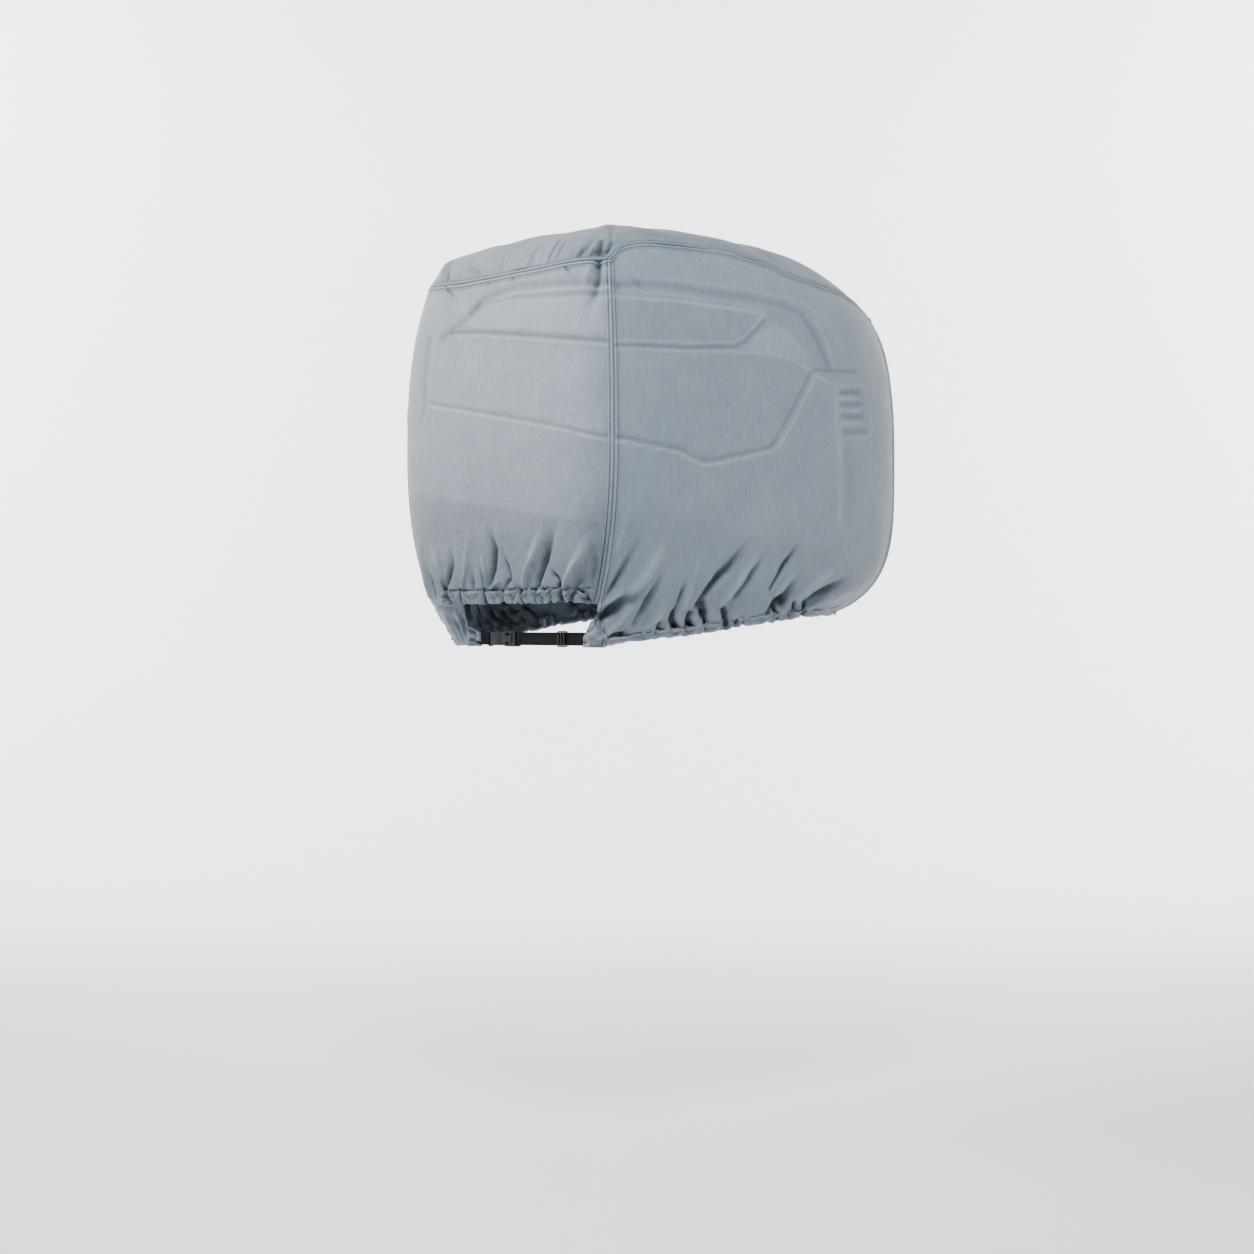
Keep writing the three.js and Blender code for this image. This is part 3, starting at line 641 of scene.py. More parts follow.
def setWeave(mesh, places):  # the weave's place at each point, in metres
    corner = np.zeros(len(mesh.loops), int)
    mesh.loops.foreach_get("vertex_index", corner)
    mesh.uv_layers.new(name="weave").data.foreach_set("uv", places[corner].ravel())


def setTone(mesh, tone):
    mesh.attributes.new("tone", "FLOAT", "POINT").data.foreach_set("value", tone)


def clothMesh(name, grids):
    # Patches of outer points with their outward directions, weave and tone, made a thin closed sheet.
    # They share the points that lie together, and every open rim gets an edge wall.
    outer, inner, weave, tone, faces = [], [], [], [], []
    base = 0
    for grid in grids:
        points, normals = grid["points"], grid["normals"]
        rows, columns = points.shape[:2]
        outer.append(points.reshape(-1, 3))
        inner.append((points - normals * cover["cloth"]).reshape(-1, 3))
        weave.append(grid["weave"].reshape(-1, 2))
        tone.append(grid["tone"].reshape(-1))
        index = np.arange(rows * columns).reshape(rows, columns)
        quads = np.stack([index[:-1, :-1], index[:-1, 1:], index[1:, 1:], index[1:, :-1]], -1)
        quads = quads.reshape(-1, 4)
        first = quads[len(quads) // 2]
        a, b, d = (outer[-1][first[k]] for k in (0, 1, 3))
        if np.dot(np.cross(b - a, d - a), normals.reshape(-1, 3)[first[0]]) < 0:
            quads = quads[:, ::-1]
        faces.append(quads + base)
        base += rows * columns
    outer, inner, weave, tone, faces = map(np.concatenate, (outer, inner, weave, tone, faces))
    _, keep, same = np.unique(np.round(outer, 3), axis=0, return_index=True, return_inverse=True)
    outer, inner, weave, tone = outer[keep], inner[keep], weave[keep], tone[keep]
    faces = same.reshape(-1)[faces]
    count = len(outer)
    sides = np.concatenate([faces[:, [i, (i + 1) % 4]] for i in range(4)])
    code = np.sort(sides, 1) @ [count, 1]
    _, position, times = np.unique(code, return_index=True, return_counts=True)
    rim = sides[position[times == 1]]
    walls = np.stack([rim[:, 1], rim[:, 0], rim[:, 0] + count, rim[:, 1] + count], 1)
    everyFace = np.concatenate([faces, faces[:, ::-1] + count, walls])
    mesh = bpy.data.meshes.new(name)
    mesh.vertices.add(2 * count)
    mesh.vertices.foreach_set("co", inMetres(np.concatenate([outer, inner])).ravel())
    mesh.loops.add(everyFace.size)
    mesh.loops.foreach_set("vertex_index", everyFace.ravel())
    mesh.polygons.add(len(everyFace))
    mesh.polygons.foreach_set("loop_start", np.arange(0, everyFace.size, 4))
    mesh.update(calc_edges=True)
    mesh.validate()
    setWeave(mesh, np.tile(weave, (2, 1)) / 1000)
    setTone(mesh, np.tile(tone, 2))
    return mesh


stitchRows = []  # the points and outward directions of every sewn row


def rowOfStitches(grid, field, level, across=False, part=(0, 1)):
    # The line on a grid where a field that grows along its columns reaches a level
    points, normals = grid["points"], grid["normals"]
    if across:
        points, normals, field = points.transpose(1, 0, 2), normals.transpose(1, 0, 2), field.T
    found, out = [], []
    for c in range(points.shape[1]):
        run = field[:, c]
        if run.max() < level or run.min() > level:
            continue
        order = np.argsort(run)
        at = np.interp(level, run[order], np.arange(len(run))[order])
        i = min(int(at), len(run) - 2)
        found.append(mix(points[i, c], points[i + 1, c], at - i))
        out.append(mix(normals[i, c], normals[i + 1, c], at - i))
    low, high = (int(round(share * (len(found) - 1))) for share in part)
    stitchRows.append((np.array(found)[low:high + 1], unit(np.array(out))[low:high + 1]))


def sewSeams(grid, rim, sideShare):
    rowOfStitches(grid, rim["top"], seamShape["rowAt"])
    for side in ("left", "right"):
        rowOfStitches(grid, rim[side], seamShape["rowAt"], True, (0, sideShare))


hemRoll = {"radius": 3.4, "inside": [5, 11, 17, 22], "turns": (30, 60, 90, 120, 150, 180)}


def withHem(grid):  # the cloth turns in under its elastic and runs back up inside
    points, normals, weave, tone = (grid[key] for key in ("points", "normals", "weave", "tone"))
    down = unit(points[-1] - points[-2])
    inward = -normals[-1]
    r = hemRoll["radius"]
    turns = [math.radians(angle) for angle in hemRoll["turns"]]
    extra = [points[-1] + down * r * math.sin(a) + inward * r * (1 - math.cos(a)) for a in turns]
    extra += [points[-1] - down * rise + inward * (2 * r) for rise in hemRoll["inside"]]
    rolled = np.concatenate([points, np.array(extra)])
    fresh = facing(rolled[len(points) - 2:], 0)
    if np.sum(fresh[0] * normals[-2]) < 0:
        fresh = -fresh
    steps = np.arange(1, len(extra) + 1)[:, None, None] * np.array([0.0, 3.0])
    return {"points": rolled, "normals": np.concatenate([normals, fresh[2:]]),
            "weave": np.concatenate([weave, weave[-1] + steps]),
            "tone": np.concatenate([tone, np.repeat(tone[-1:], len(extra), 0)])}


def finishGrid(base, normals, relief, tone):
    rim = rimDistances(base)
    points = base + normals * relief[..., None]
    weave = np.stack([rim["left"] - rim["left"].mean(1, keepdims=True), rim["top"]], -1)
    return {"points": points, "normals": facing(points, normals), "weave": weave, "tone": tone}


def wallGrid(face, panel, hemHeight):
    # Columns lie close together at the seams, by their real distance along the waist, and the
    # panel's pitches spread the rest. Rows lie closer together towards the hem.
    fine = np.linspace(-1, 1, 801)
    reach = lengthsAlong(upperShell(*face(fine), 0.35))
    pitches = np.interp(fine[1:], *zip(*panel["pitch"]))
    squeezed = np.concatenate([[0], np.cumsum(np.diff(reach) / pitches)])
    seams = spread(reach[-1], 1)
    half = len(seams) // 2
    ends = np.interp(seams[[half - 1, half]], reach, squeezed)
    places = np.concatenate([
        np.interp(seams[:half - 1], reach, fine),
        np.interp(np.linspace(*ends, panel["columns"] + 1), squeezed, fine),
        np.interp(seams[half + 1:], reach, fine)])
    tall = np.linspace(0, 1, 400)
    height = lengthsAlong(upperShell(*face(np.zeros(400)), 1 - tall))
    fall = np.interp(spread(height[-1], panel["upRows"], False), height, tall)
    shares = 1 - (1 - np.linspace(0, 1, panel["downRows"] + 1)[1:]) ** 1.45
    x, y = face(places)
    bottom = hemHeight(places)[None, :] + hemRoll["radius"]
    heights = mix(shell["waist"], bottom, shares[:, None])
    return np.concatenate([upperShell(x[None, :], y[None, :], (1 - fall)[:, None]),
                           lowerShell(x[None, :], y[None, :], heights)])


# Folds: a path that runs up from the hem as (place, height), how far it stands out in millimetres and
# half its breadth. Places on a side run from the rear, those on the rear wall from starboard.
rearFolds = [
    ([(164, 78), (179, 116), (189, 152), (199, 192)], 7, 7),
    ([(105, 72), (89, 111), (77, 159), (71, 198)], 5, 6),
    ([(25, 71), (26, 100), (32, 133), (42, 162)], 7, 4.5),
    ([(-91, 70), (-108, 107), (-133, 141), (-151, 172), (-170, 213)], 10, 9),
    ([(-198, 65), (-223, 96), (-250, 127), (-269, 156), (-289, 198)], 10, 9),
    ([(18, 71), (-9, 84), (-32, 93)], 4, 3.5),
    ([(-66, 70), (-60, 90), (-47, 109)], 3, 4),
    ([(166, 69), (152, 93), (134, 122), (132, 181)], -8, 7),
    ([(72, 72), (71, 106), (74, 130)], -5, 8),
    ([(17, 81), (2, 113), (-5, 148), (5, 186), (12, 225)], -11, 9),
    ([(-22, 63), (-37, 82), (-54, 93), (-44, 113), (-32, 136), (-32, 176)], -10, 4.5),
    ([(-123, 62), (-136, 92), (-151, 116), (-166, 140), (-182, 171), (-199, 211)], -13, 8.5),
    ([(-194, 65), (-189, 87), (-175, 103), (-166, 125)], -9, 4.5),
    ([(-263, 65), (-273, 96), (-278, 123), (-288, 160)], -9, 8),
    ([(-226, 69), (-248, 89), (-262, 109)], -5, 6),
    ([(38, 67), (39, 95), (43, 128)], -5, 3.5),
    ([(232, 60), (246, 110), (262, 170)], 6, 9),
    ([(208, 58), (220, 96), (232, 140)], -6, 7),
    ([(-266, 682), (-273, 644), (-276, 614), (-272, 584), (-262, 540), (-250, 500)], -4.6, 9),
    ([(-256, 663), (-257, 637), (-249, 609)], 4, 6),
    ([(172, 672), (137, 648), (94, 614)], -3.6, 6),
    ([(-46, 668), (-60, 649)], -3, 4),
    ([(-201, 666), (-227, 640)], -3, 4.5),
    ([(19, 667), (29, 646)], -2.5, 4.5),
    ([(-132, 667), (-145, 649)], -2.5, 4.5),
    ([(272, 660), (290, 626), (284, 590)], -3, 7),
]
sideFolds = [
    ([(-376, 76), (-374, 123), (-369, 159), (-358, 205), (-350, 261)], 6, 5),
    ([(-324, 66), (-307, 96), (-290, 133), (-274, 190)], 10, 11),
    ([(-372, 37), (-354, 54), (-335, 69), (-305, 78)], 8, 7),
    ([(-362, -19), (-329, 10), (-315, 37), (-304, 58), (-290, 84)], 10, 6),
    ([(-201, 40), (-206, 84), (-197, 120), (-182, 170)], 7, 9),
    ([(-115, 40), (-95, 77), (-73, 113), (-46, 143), (-15, 186)], 8, 7),
    ([(14, 60), (43, 95), (82, 134)], 6, 7),
    ([(125, 41), (179, 56), (227, 72), (273, 99)], 8, 7),
    ([(78, 52), (116, 86), (164, 118), (213, 150)], 6, 10),
    ([(-262, 8), (-249, 37), (-232, 66)], 6, 11),
    ([(-364, 58), (-352, 101), (-338, 147), (-325, 206)], -7, 8),
    ([(-376, 4), (-360, 21), (-345, 35), (-330, 52), (-308, 76)], -17, 9),
    ([(-290, 8), (-285, 50), (-275, 82), (-260, 129)], -9, 7),
    ([(-218, 30), (-213, 66), (-208, 92), (-198, 136)], -8, 6),
    ([(-172, 40), (-155, 73), (-138, 95), (-119, 113), (-93, 142), (-45, 182)], -13, 10),
    ([(-88, 58), (-68, 93), (-48, 119), (-15, 158)], -7, 6),
    ([(-2, 72), (21, 118), (47, 146), (84, 183)], -10, 7),
    ([(12, 28), (26, 53), (42, 60), (50, 80), (76, 106)], -13, 10),
    ([(101, 47), (122, 57), (146, 67), (178, 81), (236, 108)], -14, 8),
    ([(190, 24), (236, 38), (280, 60)], -5, 8),
    ([(-361, 668), (-362, 652), (-358, 631)], -2.6, 5),
    ([(-370, 656), (-367, 616), (-357, 579)], -3.6, 6),
    ([(-338, 640), (-318, 620), (-289, 604)], -3, 6),
]
# Paths on the roof run as (X, Y)
roofFolds = [
    ([(-407, 173), (-398, 178), (-364, 211)], -4, 5),
    ([(-407, 57), (-398, 108), (-385, 170)], -3.5, 4),
    ([(-388, 206), (-364, 224), (-330, 246)], 7, 16),
    ([(-412, 165), (-404, 205), (-392, 245)], -6, 15),
    ([(-330, -222), (-285, -190), (-230, -150)], 4, 18),
    ([(-250, -232), (-180, -238)], -4, 25),
    ([(-394, -225), (-381, -235), (-364, -236), (-340, -222)], -6, 10),
    ([(-388, -247), (-372, -248), (-350, -242)], 4, 6),
    ([(-388, -263), (-370, -259), (-352, -250)], -9, 5),
    ([(-368, -276), (-350, -262)], -7, 5),
    ([(-358, -280), (-340, -277), (-319, -270)], -4, 4),
    ([(-347, -264), (-321, -233), (-285, -190)], -2.5, 5),
    ([(-278, -264), (-241, -278), (-190, -284)], -2, 9),
]
# Pinched creases on the roof, laid out like those below; their last number is painted shade in the
# crease
roofPinches = [
    ([(-407, -62), (-390, -64)], -1.6, 3.2, -0.55),
    ([(-407, -96), (-388, -98)], -2.2, 3.4, -0.75),
    ([(-405, -148), (-384, -150)], -3, 4, -1.1),
    ([(-403, -169), (-386, -170)], -3, 3.8, -1.1),
    ([(-403, -203), (-392, -210)], -1.8, 3.4, -0.65),
    ([(-399, -220), (-388, -226)], -1.8, 3.4, -0.65),
    ([(-390, -245), (-376, -257), (-362, -251)], -4, 4.5, -1.3),
    ([(-373, -266), (-362, -271), (-350, -266)], -3.5, 4, -1.2),
    ([(-406, -2), (-394, 3)], -1.4, 2.8, -0.5),
    ([(-394, 112), (-399, 88), (-406, 60)], -1.2, 2.6, -0.45),
]
rearCreases = [165, 117, 36, -20, -79, -121, -192, -216, -248]
sideCreases = [-232, -205, -172, -141, -92, -60, -40, 28, 60, 80, 118, 176, 232, 290]

# Creases that the elastic pinches in: a path, how far it stands out, half its breadth and how much
# lighter it is painted, which is painted shade in the crease
rearPinches = [
    ([(-265, 676), (-269, 664)], -1.8, 4, -0.7),
    ([(-269, 664), (-274, 640), (-275, 605)], -1.4, 6, -0.4),
    ([(-45, 670), (-60, 649)], -1, 2.6, -0.35),
    ([(-201, 668), (-227, 640)], -1, 2.6, -0.35),
    ([(164, 666), (140, 650)], -0.8, 3.4, -0.25),
    ([(172, 88), (168, 72), (160, 54)], -9, 4.5, -1.5),
    ([(148, 58), (141, 49), (152, 44)], -5, 3, -1),
    ([(117, 71), (110, 42)], -9, 3.2, -1.4),
    ([(37, 71), (33, 40)], -13, 3.6, -2),
    ([(-18, 69), (-23, 40)], -9, 3.2, -1.4),
    ([(-78, 71), (-85, 40)], -11, 3.4, -1.7),
    ([(-119, 69), (-124, 40)], -9, 3.2, -1.3),
    ([(-190, 76), (-194, 40)], -14, 4.2, -2),
    ([(-213, 40), (-218, 56), (-230, 67), (-242, 63), (-250, 44)], -8, 3.6, -1.5),
    ([(10, 66), (4, 56), (-2, 64)], -3, 2.6, -0.5),
    ([(-50, 42), (-58, 54), (-66, 60)], -3, 2.6, -0.5),
    ([(-140, 42), (-150, 60), (-146, 74)], -5, 3, -0.7),
    ([(-165, 42), (-170, 58), (-160, 72)], -4, 3, -0.6),
]
sidePinches = [
    ([(-372, 24), (-364, 20), (-352, 30)], -3, 4, -0.5),
    ([(-218, 27), (-215, 14), (-193, -6)], -15, 5, -1.7),
    ([(-180, 24), (-179, 14), (-165, -2)], -14, 5.5, -1.6),
    ([(-160, 40), (-154, 30), (-148, 24)], -14, 7.5, -1.6),
    ([(-148, 24), (-125, -2)], -12, 3.6, -1.3),
    ([(-105, 34), (-95, 21), (-80, 4)], -14, 5, -1.7),
    ([(-62, 12), (-57, 8)], -9, 4, -1.3),
    ([(-40, 9), (-38, 5)], -6, 3, -1),
    ([(22, 40), (32, 29), (48, 15)], -10, 3.6, -1.2),
    ([(30, 56), (42, 48)], -9, 8, -0.9),
    ([(76, 47), (85, 33)], -13, 4.6, -1.6),
    ([(70, 28), (81, 20)], -6, 3, -0.9),
    ([(112, 42), (130, 22)], -14, 5.4, -1.7),
    ([(-235, 5), (-230, -8)], -8, 4, -1),
    ([(-340, -20), (-325, -15), (-308, -13)], -8, 4.5, -1.2),
    ([(-262, -14), (-255, -22)], -4, 3, -0.6),
]

# Edges from underneath that press through the cloth: a path, how far it stands out, half its breadth
# and how much lighter it is painted, as painted highlight on the ridges and painted shade in the grooves
rearPress = [
    ([(-6, 627), (-80, 632), (-197, 626), (-293, 621)], 0.9, 3.2, 0.6),
    ([(11, 616), (-36, 620), (-201, 605), (-297, 601)], 0.7, 3, 0.45),
    ([(0, 621), (-60, 626), (-199, 616), (-295, 611)], -0.6, 3.2, -0.4),
    ([(74, 612), (30, 634), (-61, 645), (-196, 638), (-291, 632)], -0.8, 8, -0.5),
    ([(45, 624), (79, 600), (120, 585), (158, 569)], -0.9, 8, -0.55),
    ([(129, 576), (37, 569), (-168, 541), (-305, 522)], -0.9, 4.5, -0.7),
    ([(125, 567), (37, 560), (-168, 532), (-305, 513)], 0.8, 3.2, 0.5),
    ([(177, 559), (189, 528), (193, 485), (191, 446)], 0.7, 4, 0.3),
    ([(204, 570), (211, 530), (214, 481), (213, 431)], -0.7, 8, -0.4),
    ([(191, 435), (-22, 398), (-213, 364), (-311, 340)], 0.9, 3.2, 0.6),
    ([(191, 443), (-22, 406), (-213, 371), (-311, 347)], -0.7, 4, -0.5),
]
# Areas painted lighter and darker as painted light and shade: an outline, how much lighter, and how soft
# its edge is
rearAreas = [
    ([(24, 618), (-52, 616), (-201, 603), (-291, 598), (-300, 534), (-168, 550), (-17, 571),
      (97, 589)], 0.36, 4),
    ([(128, 566), (-302, 505), (-307, 355), (-22, 410), (173, 443), (186, 484), (167, 554)], 0.17, 5),
    ([(345, 276), (175, 250), (-187, 201), (-345, 180), (-345, 20), (345, 20)], -0.42, 7),
]
sidePress = [
    ([(-379, 603), (-311, 602), (-242, 604), (-142, 603), (-64, 601), (-27, 599),
      (-19, 594)], 0.9, 3, 0.65),
    ([(-22, 591), (-71, 552), (-86, 541), (-112, 530), (-228, 519), (-387, 513)], -0.9, 4.5, -0.6),
    ([(-387, 521), (-228, 527), (-112, 538), (-92, 547), (-68, 566), (-31, 597)], 0.7, 2.8, 0.4),
    ([(-388, 506), (-229, 511), (-114, 519), (-21, 523), (32, 517), (72, 505), (88, 499)], 0.8, 3, 0.5),
    ([(-375, 627), (-325, 632), (-236, 631), (-134, 630), (-29, 628), (38, 622), (77, 610), (103, 578),
      (123, 538), (138, 512)], -0.9, 8, -0.45),
    ([(-344, 641), (-234, 645), (-81, 645), (27, 641), (103, 629), (145, 603), (173, 557),
      (196, 519)], 0.6, 3.4, 0.25),
    ([(-376, 617), (-307, 616), (-189, 615), (-87, 613), (-21, 609)], 0.5, 3, 0.25),
    ([(116, 598), (130, 577), (141, 545), (154, 509)], 0.7, 3.4, 0.35),
    ([(-391, 338), (-347, 332), (-259, 320), (-224, 307), (-200, 301), (-169, 305), (-28, 334),
      (-2, 347), (28, 385), (98, 489), (107, 488), (134, 478)], 1, 3, 0.7),
    ([(-385, 346), (-327, 338), (-259, 329), (-220, 316), (-194, 310), (-159, 317), (-28, 344),
      (-12, 359), (19, 401), (85, 496), (94, 501), (171, 504), (219, 507)], -0.8, 4, -0.6),
    ([(163, 474), (238, 479), (245, 453), (260, 400), (242, 377), (173, 370),
      (163, 474)], 0.7, 3, 0.25),
    ([(167, 461), (227, 465)], -1, 5.5, -0.6),
    ([(169, 437), (229, 442)], -1, 5.5, -0.6),
    ([(171, 414), (231, 417)], -1, 5.5, -0.6),
    ([(174, 384), (239, 388)], -1, 5.5, -0.6),
    ([(161, 449), (214, 453)], 0.8, 2.6, 0.45),
    ([(165, 425), (219, 428)], 0.8, 2.6, 0.45),
    ([(170, 401), (230, 404)], 0.8, 2.6, 0.45),
    ([(151, 477), (153, 407), (159, 358), (164, 299), (163, 211)], 0.6, 7, 0.35),
    ([(184, 369), (191, 290), (190, 211)], -0.5, 10, -0.25),
]
# Areas painted lighter and darker as painted light and shade: an outline, how much lighter, and how soft
# its edge is
sideAreas = [
    ([(-51, 563), (1, 584), (40, 571), (63, 548), (82, 516), (33, 522), (-20, 525),
      (-87, 528)], 0.38, 4),
    ([(-380, 600), (-142, 600), (-40, 598), (-75, 556), (-110, 540), (-387, 524)], -0.14, 4),
    ([(-60, 596), (40, 590), (78, 560), (96, 520), (112, 508), (140, 508), (118, 570), (80, 606),
      (-20, 610)], -0.12, 4),
    ([(-380, 215), (-120, 180), (120, 160), (320, 140), (330, -60), (-420, -60)], -0.2, 40),
    ([(-400, 70), (-200, 62), (0, 70), (200, 80), (330, 90), (330, -60), (-420, -60)], -0.25, 26),
]


def seamed(base):
    # A panel's outward directions, its distances from the rim, and its seams' relief and tone
    rim = rimDistances(base)
    seams = [rim[side] for side in ("top", "left", "right")]
    return (facing(base, base - [0, 0, shell["waist"]]), rim, sum(seamLift(seam) for seam in seams),
            sum(seamTone(seam) for seam in seams))


def edgePuckers(rim, at, height, rows, seed):
    return (puckers(at, rim["top"], seed + 1, *rows["top"])
            + puckers(height, rim["left"], seed + 2, *rows["left"])
            + puckers(height, rim["right"], seed + 3, *rows["right"]))


pressing = {"relief": 1.3, "tone": 1.4}


# The press lines' relief, with their painted highlight and shade and the areas' painted light and shade
def pressedThrough(at, height, press, areas):
    relief, tone = pressField(at, height, press)
    return pressing["relief"] * relief, pressing["tone"] * tone + toneAreas(at, height, areas)


def addCloth(name, grids, node):
    made = addPiece(name, clothMesh(name, grids), clothLook, node)
    return made


# Bands along the hem are given as how far they stand out, their distance and half their breadth
sidePanel = {
    "pitch": [(-1, 1.0), (0.3, 1.0), (0.42, 2.1), (1, 2.3)], "columns": 164, "upRows": 104,
    "downRows": 100, "creaseReach": 400, "scallop": 2.0, "foldDepth": 1.6, "gathers": (3.0, 24),
    "casing": (2.6, 6, 6), "groove": (0.8, 14, 2.4), "fine": (34, 0.8), "broad": (120, 1.1),
    "puckers": {"top": (17, 11, 0.7), "left": (16, 12, 0.7), "right": (19, 12, 0.6)},
    "stitchShare": 0.97, "hemRow": 14.0,
}


def hemBand(distance, rise, at, width):
    return rise * bell(distance - at, width)


def dressSide(y, folds, creases, pinches, seed):
    def face(a):
        return a, np.full(np.shape(a), float(y))

    def hem(u):
        drawnUp = scallops(u * sidePanel["creaseReach"], creases, sidePanel["scallop"])
        return through(u, shell["hemSide"]) + drawnUp

    base = wallGrid(face, sidePanel, hem)
    normals, rim, relief, light = seamed(base)
    at, height, above = base[..., 0], base[..., 2], rim["bottom"]
    inside = smooth(8, 22, rim["left"] + 22 * smooth(52, 34, height)) * smooth(8, 26, rim["right"])
    drawn, dark = pressField(at, height, pinches)
    fold = sidePanel["foldDepth"] * foldField(at, height, folds)
    fold = fold + gathers(at, above, creases, *sidePanel["gathers"]) + drawn
    lump = 1 - 0.8 * bell(nearestCrease(at, creases), 7)
    casing = lump * hemBand(above, *sidePanel["casing"]) - hemBand(above, *sidePanel["groove"])
    fine = (ripples(at, height, seed, *sidePanel["fine"]) * smooth(190, 20, above)
            + ripples(at, height, seed + 5, *sidePanel["broad"]))
    relief += (fold + fine) * inside + casing * (0.4 + 0.6 * inside)
    relief += edgePuckers(rim, at, height, sidePanel["puckers"], seed)
    pressed, shade = pressedThrough(at, height, sidePress, sideAreas)
    # Painted shade and highlight: the press lines and areas, the folds' troughs and ridges, and the
    # pinched creases
    light += shade + paintedFoldShading(fold * inside) + dark * inside
    grid = finishGrid(base, normals, relief + pressed, light)
    sewSeams(grid, rim, sidePanel["stitchShare"])
    rowOfStitches(grid, -above, -sidePanel["hemRow"], False, (0.02, 0.98))
    return grid


# How far round the corner the lobe reaches at each height, as a share of half the cover's length
lobe = {
    "columns": 60, "below": 50, "heights": [-38, -18, 2, 24, 41],
    "wraps": [0.263, 0.33, 0.36, 0.375, 0.385], "ripples": (30, 0.9), "row": (1.2, 5, 1.2),
    "folds": [
        ([(156, -32), (169, -2), (190, 34)], -15, 6), ([(166, -34), (185, -6), (206, 24)], -13, 5.5),
        ([(151, -24), (154, 10), (166, 40)], -11, 5), ([(176, -34), (213, -6), (238, 28)], -12, 6.5),
        ([(176, -22), (198, 10), (230, 24)], 8, 5), ([(186, 2), (204, 28), (240, 38)], 7, 5),
        ([(156, -14), (162, 10), (174, 36)], 9, 4.5), ([(216, -36), (250, -8), (272, 30)], -8, 8)],
}


def portLobe(side):
    # Below the rear hem the port side goes on round the corner, to a free edge that slants down
    rows = [i for i in range(side["points"].shape[0]) if side["points"][i, 0, 2] < lobe["below"]]
    heights = side["points"][rows, 0, 2]
    share = np.linspace(0, 1, lobe["columns"])
    wrap = np.interp(heights, lobe["heights"], lobe["wraps"])[:, None]
    gone = share * wrap * cover["length"] / 2
    base = lowerShell(-1.0, 1 - gone * 2 / cover["width"], heights[:, None])
    normals = facing(base, [[[-1, 0.2, 0]]])
    at, height = base[..., 1], base[..., 2]
    free = (1 - share) * wrap * cover["length"] / 2
    relief = (ripples(at, height, 31, *lobe["ripples"]) + foldField(at, height, lobe["folds"])
              - hemBand(free, *lobe["row"]))
    tucked = 3.6 * smooth(37, 44, heights)[:, None] * smooth(0, 0.1, share)
    relief = relief * smooth(0, 8, share * 140) - tucked
    points = base + normals * relief[..., None]
    join = side["points"][rows, 0]
    points = points + (join - points[:, 0])[:, None, :] * smooth(0.35, 0, share)[None, :, None]
    weave = side["weave"][rows, 0][:, None, :] - np.stack([gone, np.zeros_like(gone)], -1)
    # Painted shade in the lobe's troughs and painted highlight on its ridges, and a little darker all
    # over
    return {"points": points, "normals": facing(points, normals), "weave": weave,
            "tone": paintedFoldShading(1.3 * relief) - 0.15}


starboardGrid = dressSide(-1, sideFolds, sideCreases, sidePinches, 11)
addCloth("sideClothStarboard", [withHem(starboardGrid)], "side_panel_starboard")

portFolds = [([(x + 14, h) for x, h in path], rise * 0.9, width) for path, rise, width in sideFolds]
portPinches = [([(x + 9, h) for x, h in path], rise * 0.8, width, light * 0.8)
               for path, rise, width, light in sidePinches]
portGrid = dressSide(1, portFolds, [crease + 9 for crease in sideCreases], portPinches, 12)
portLobeGrid = portLobe(portGrid)
addCloth("sideClothPort", [withHem(portGrid), portLobeGrid], "side_panel_port")
print("side cloth made")

rearPanel = {
    "pitch": [(-1, 1), (1, 1)], "columns": 170, "upRows": 92, "downRows": 108, "creaseReach": 330,
    "hemTop": 69, "hemBottom": 44, "bulge": 5.5, "scallop": 6, "foldDepth": 1.45,
    "gathers": (3.5, 22), "fine": (30, 0.6), "broad": (120, 1.1), "lumps": (22, 1.3), "seed": 21,
    "slackAt": [-320, -187, 181, 215], "slackFrom": [184, 201, 255, 264], "slack": 1.8,
    "puckers": {"top": (15, 13, 0.9), "left": (17, 12, 0.6), "right": (17, 12, 0.6)},
    "stitchShare": 0.96,
}


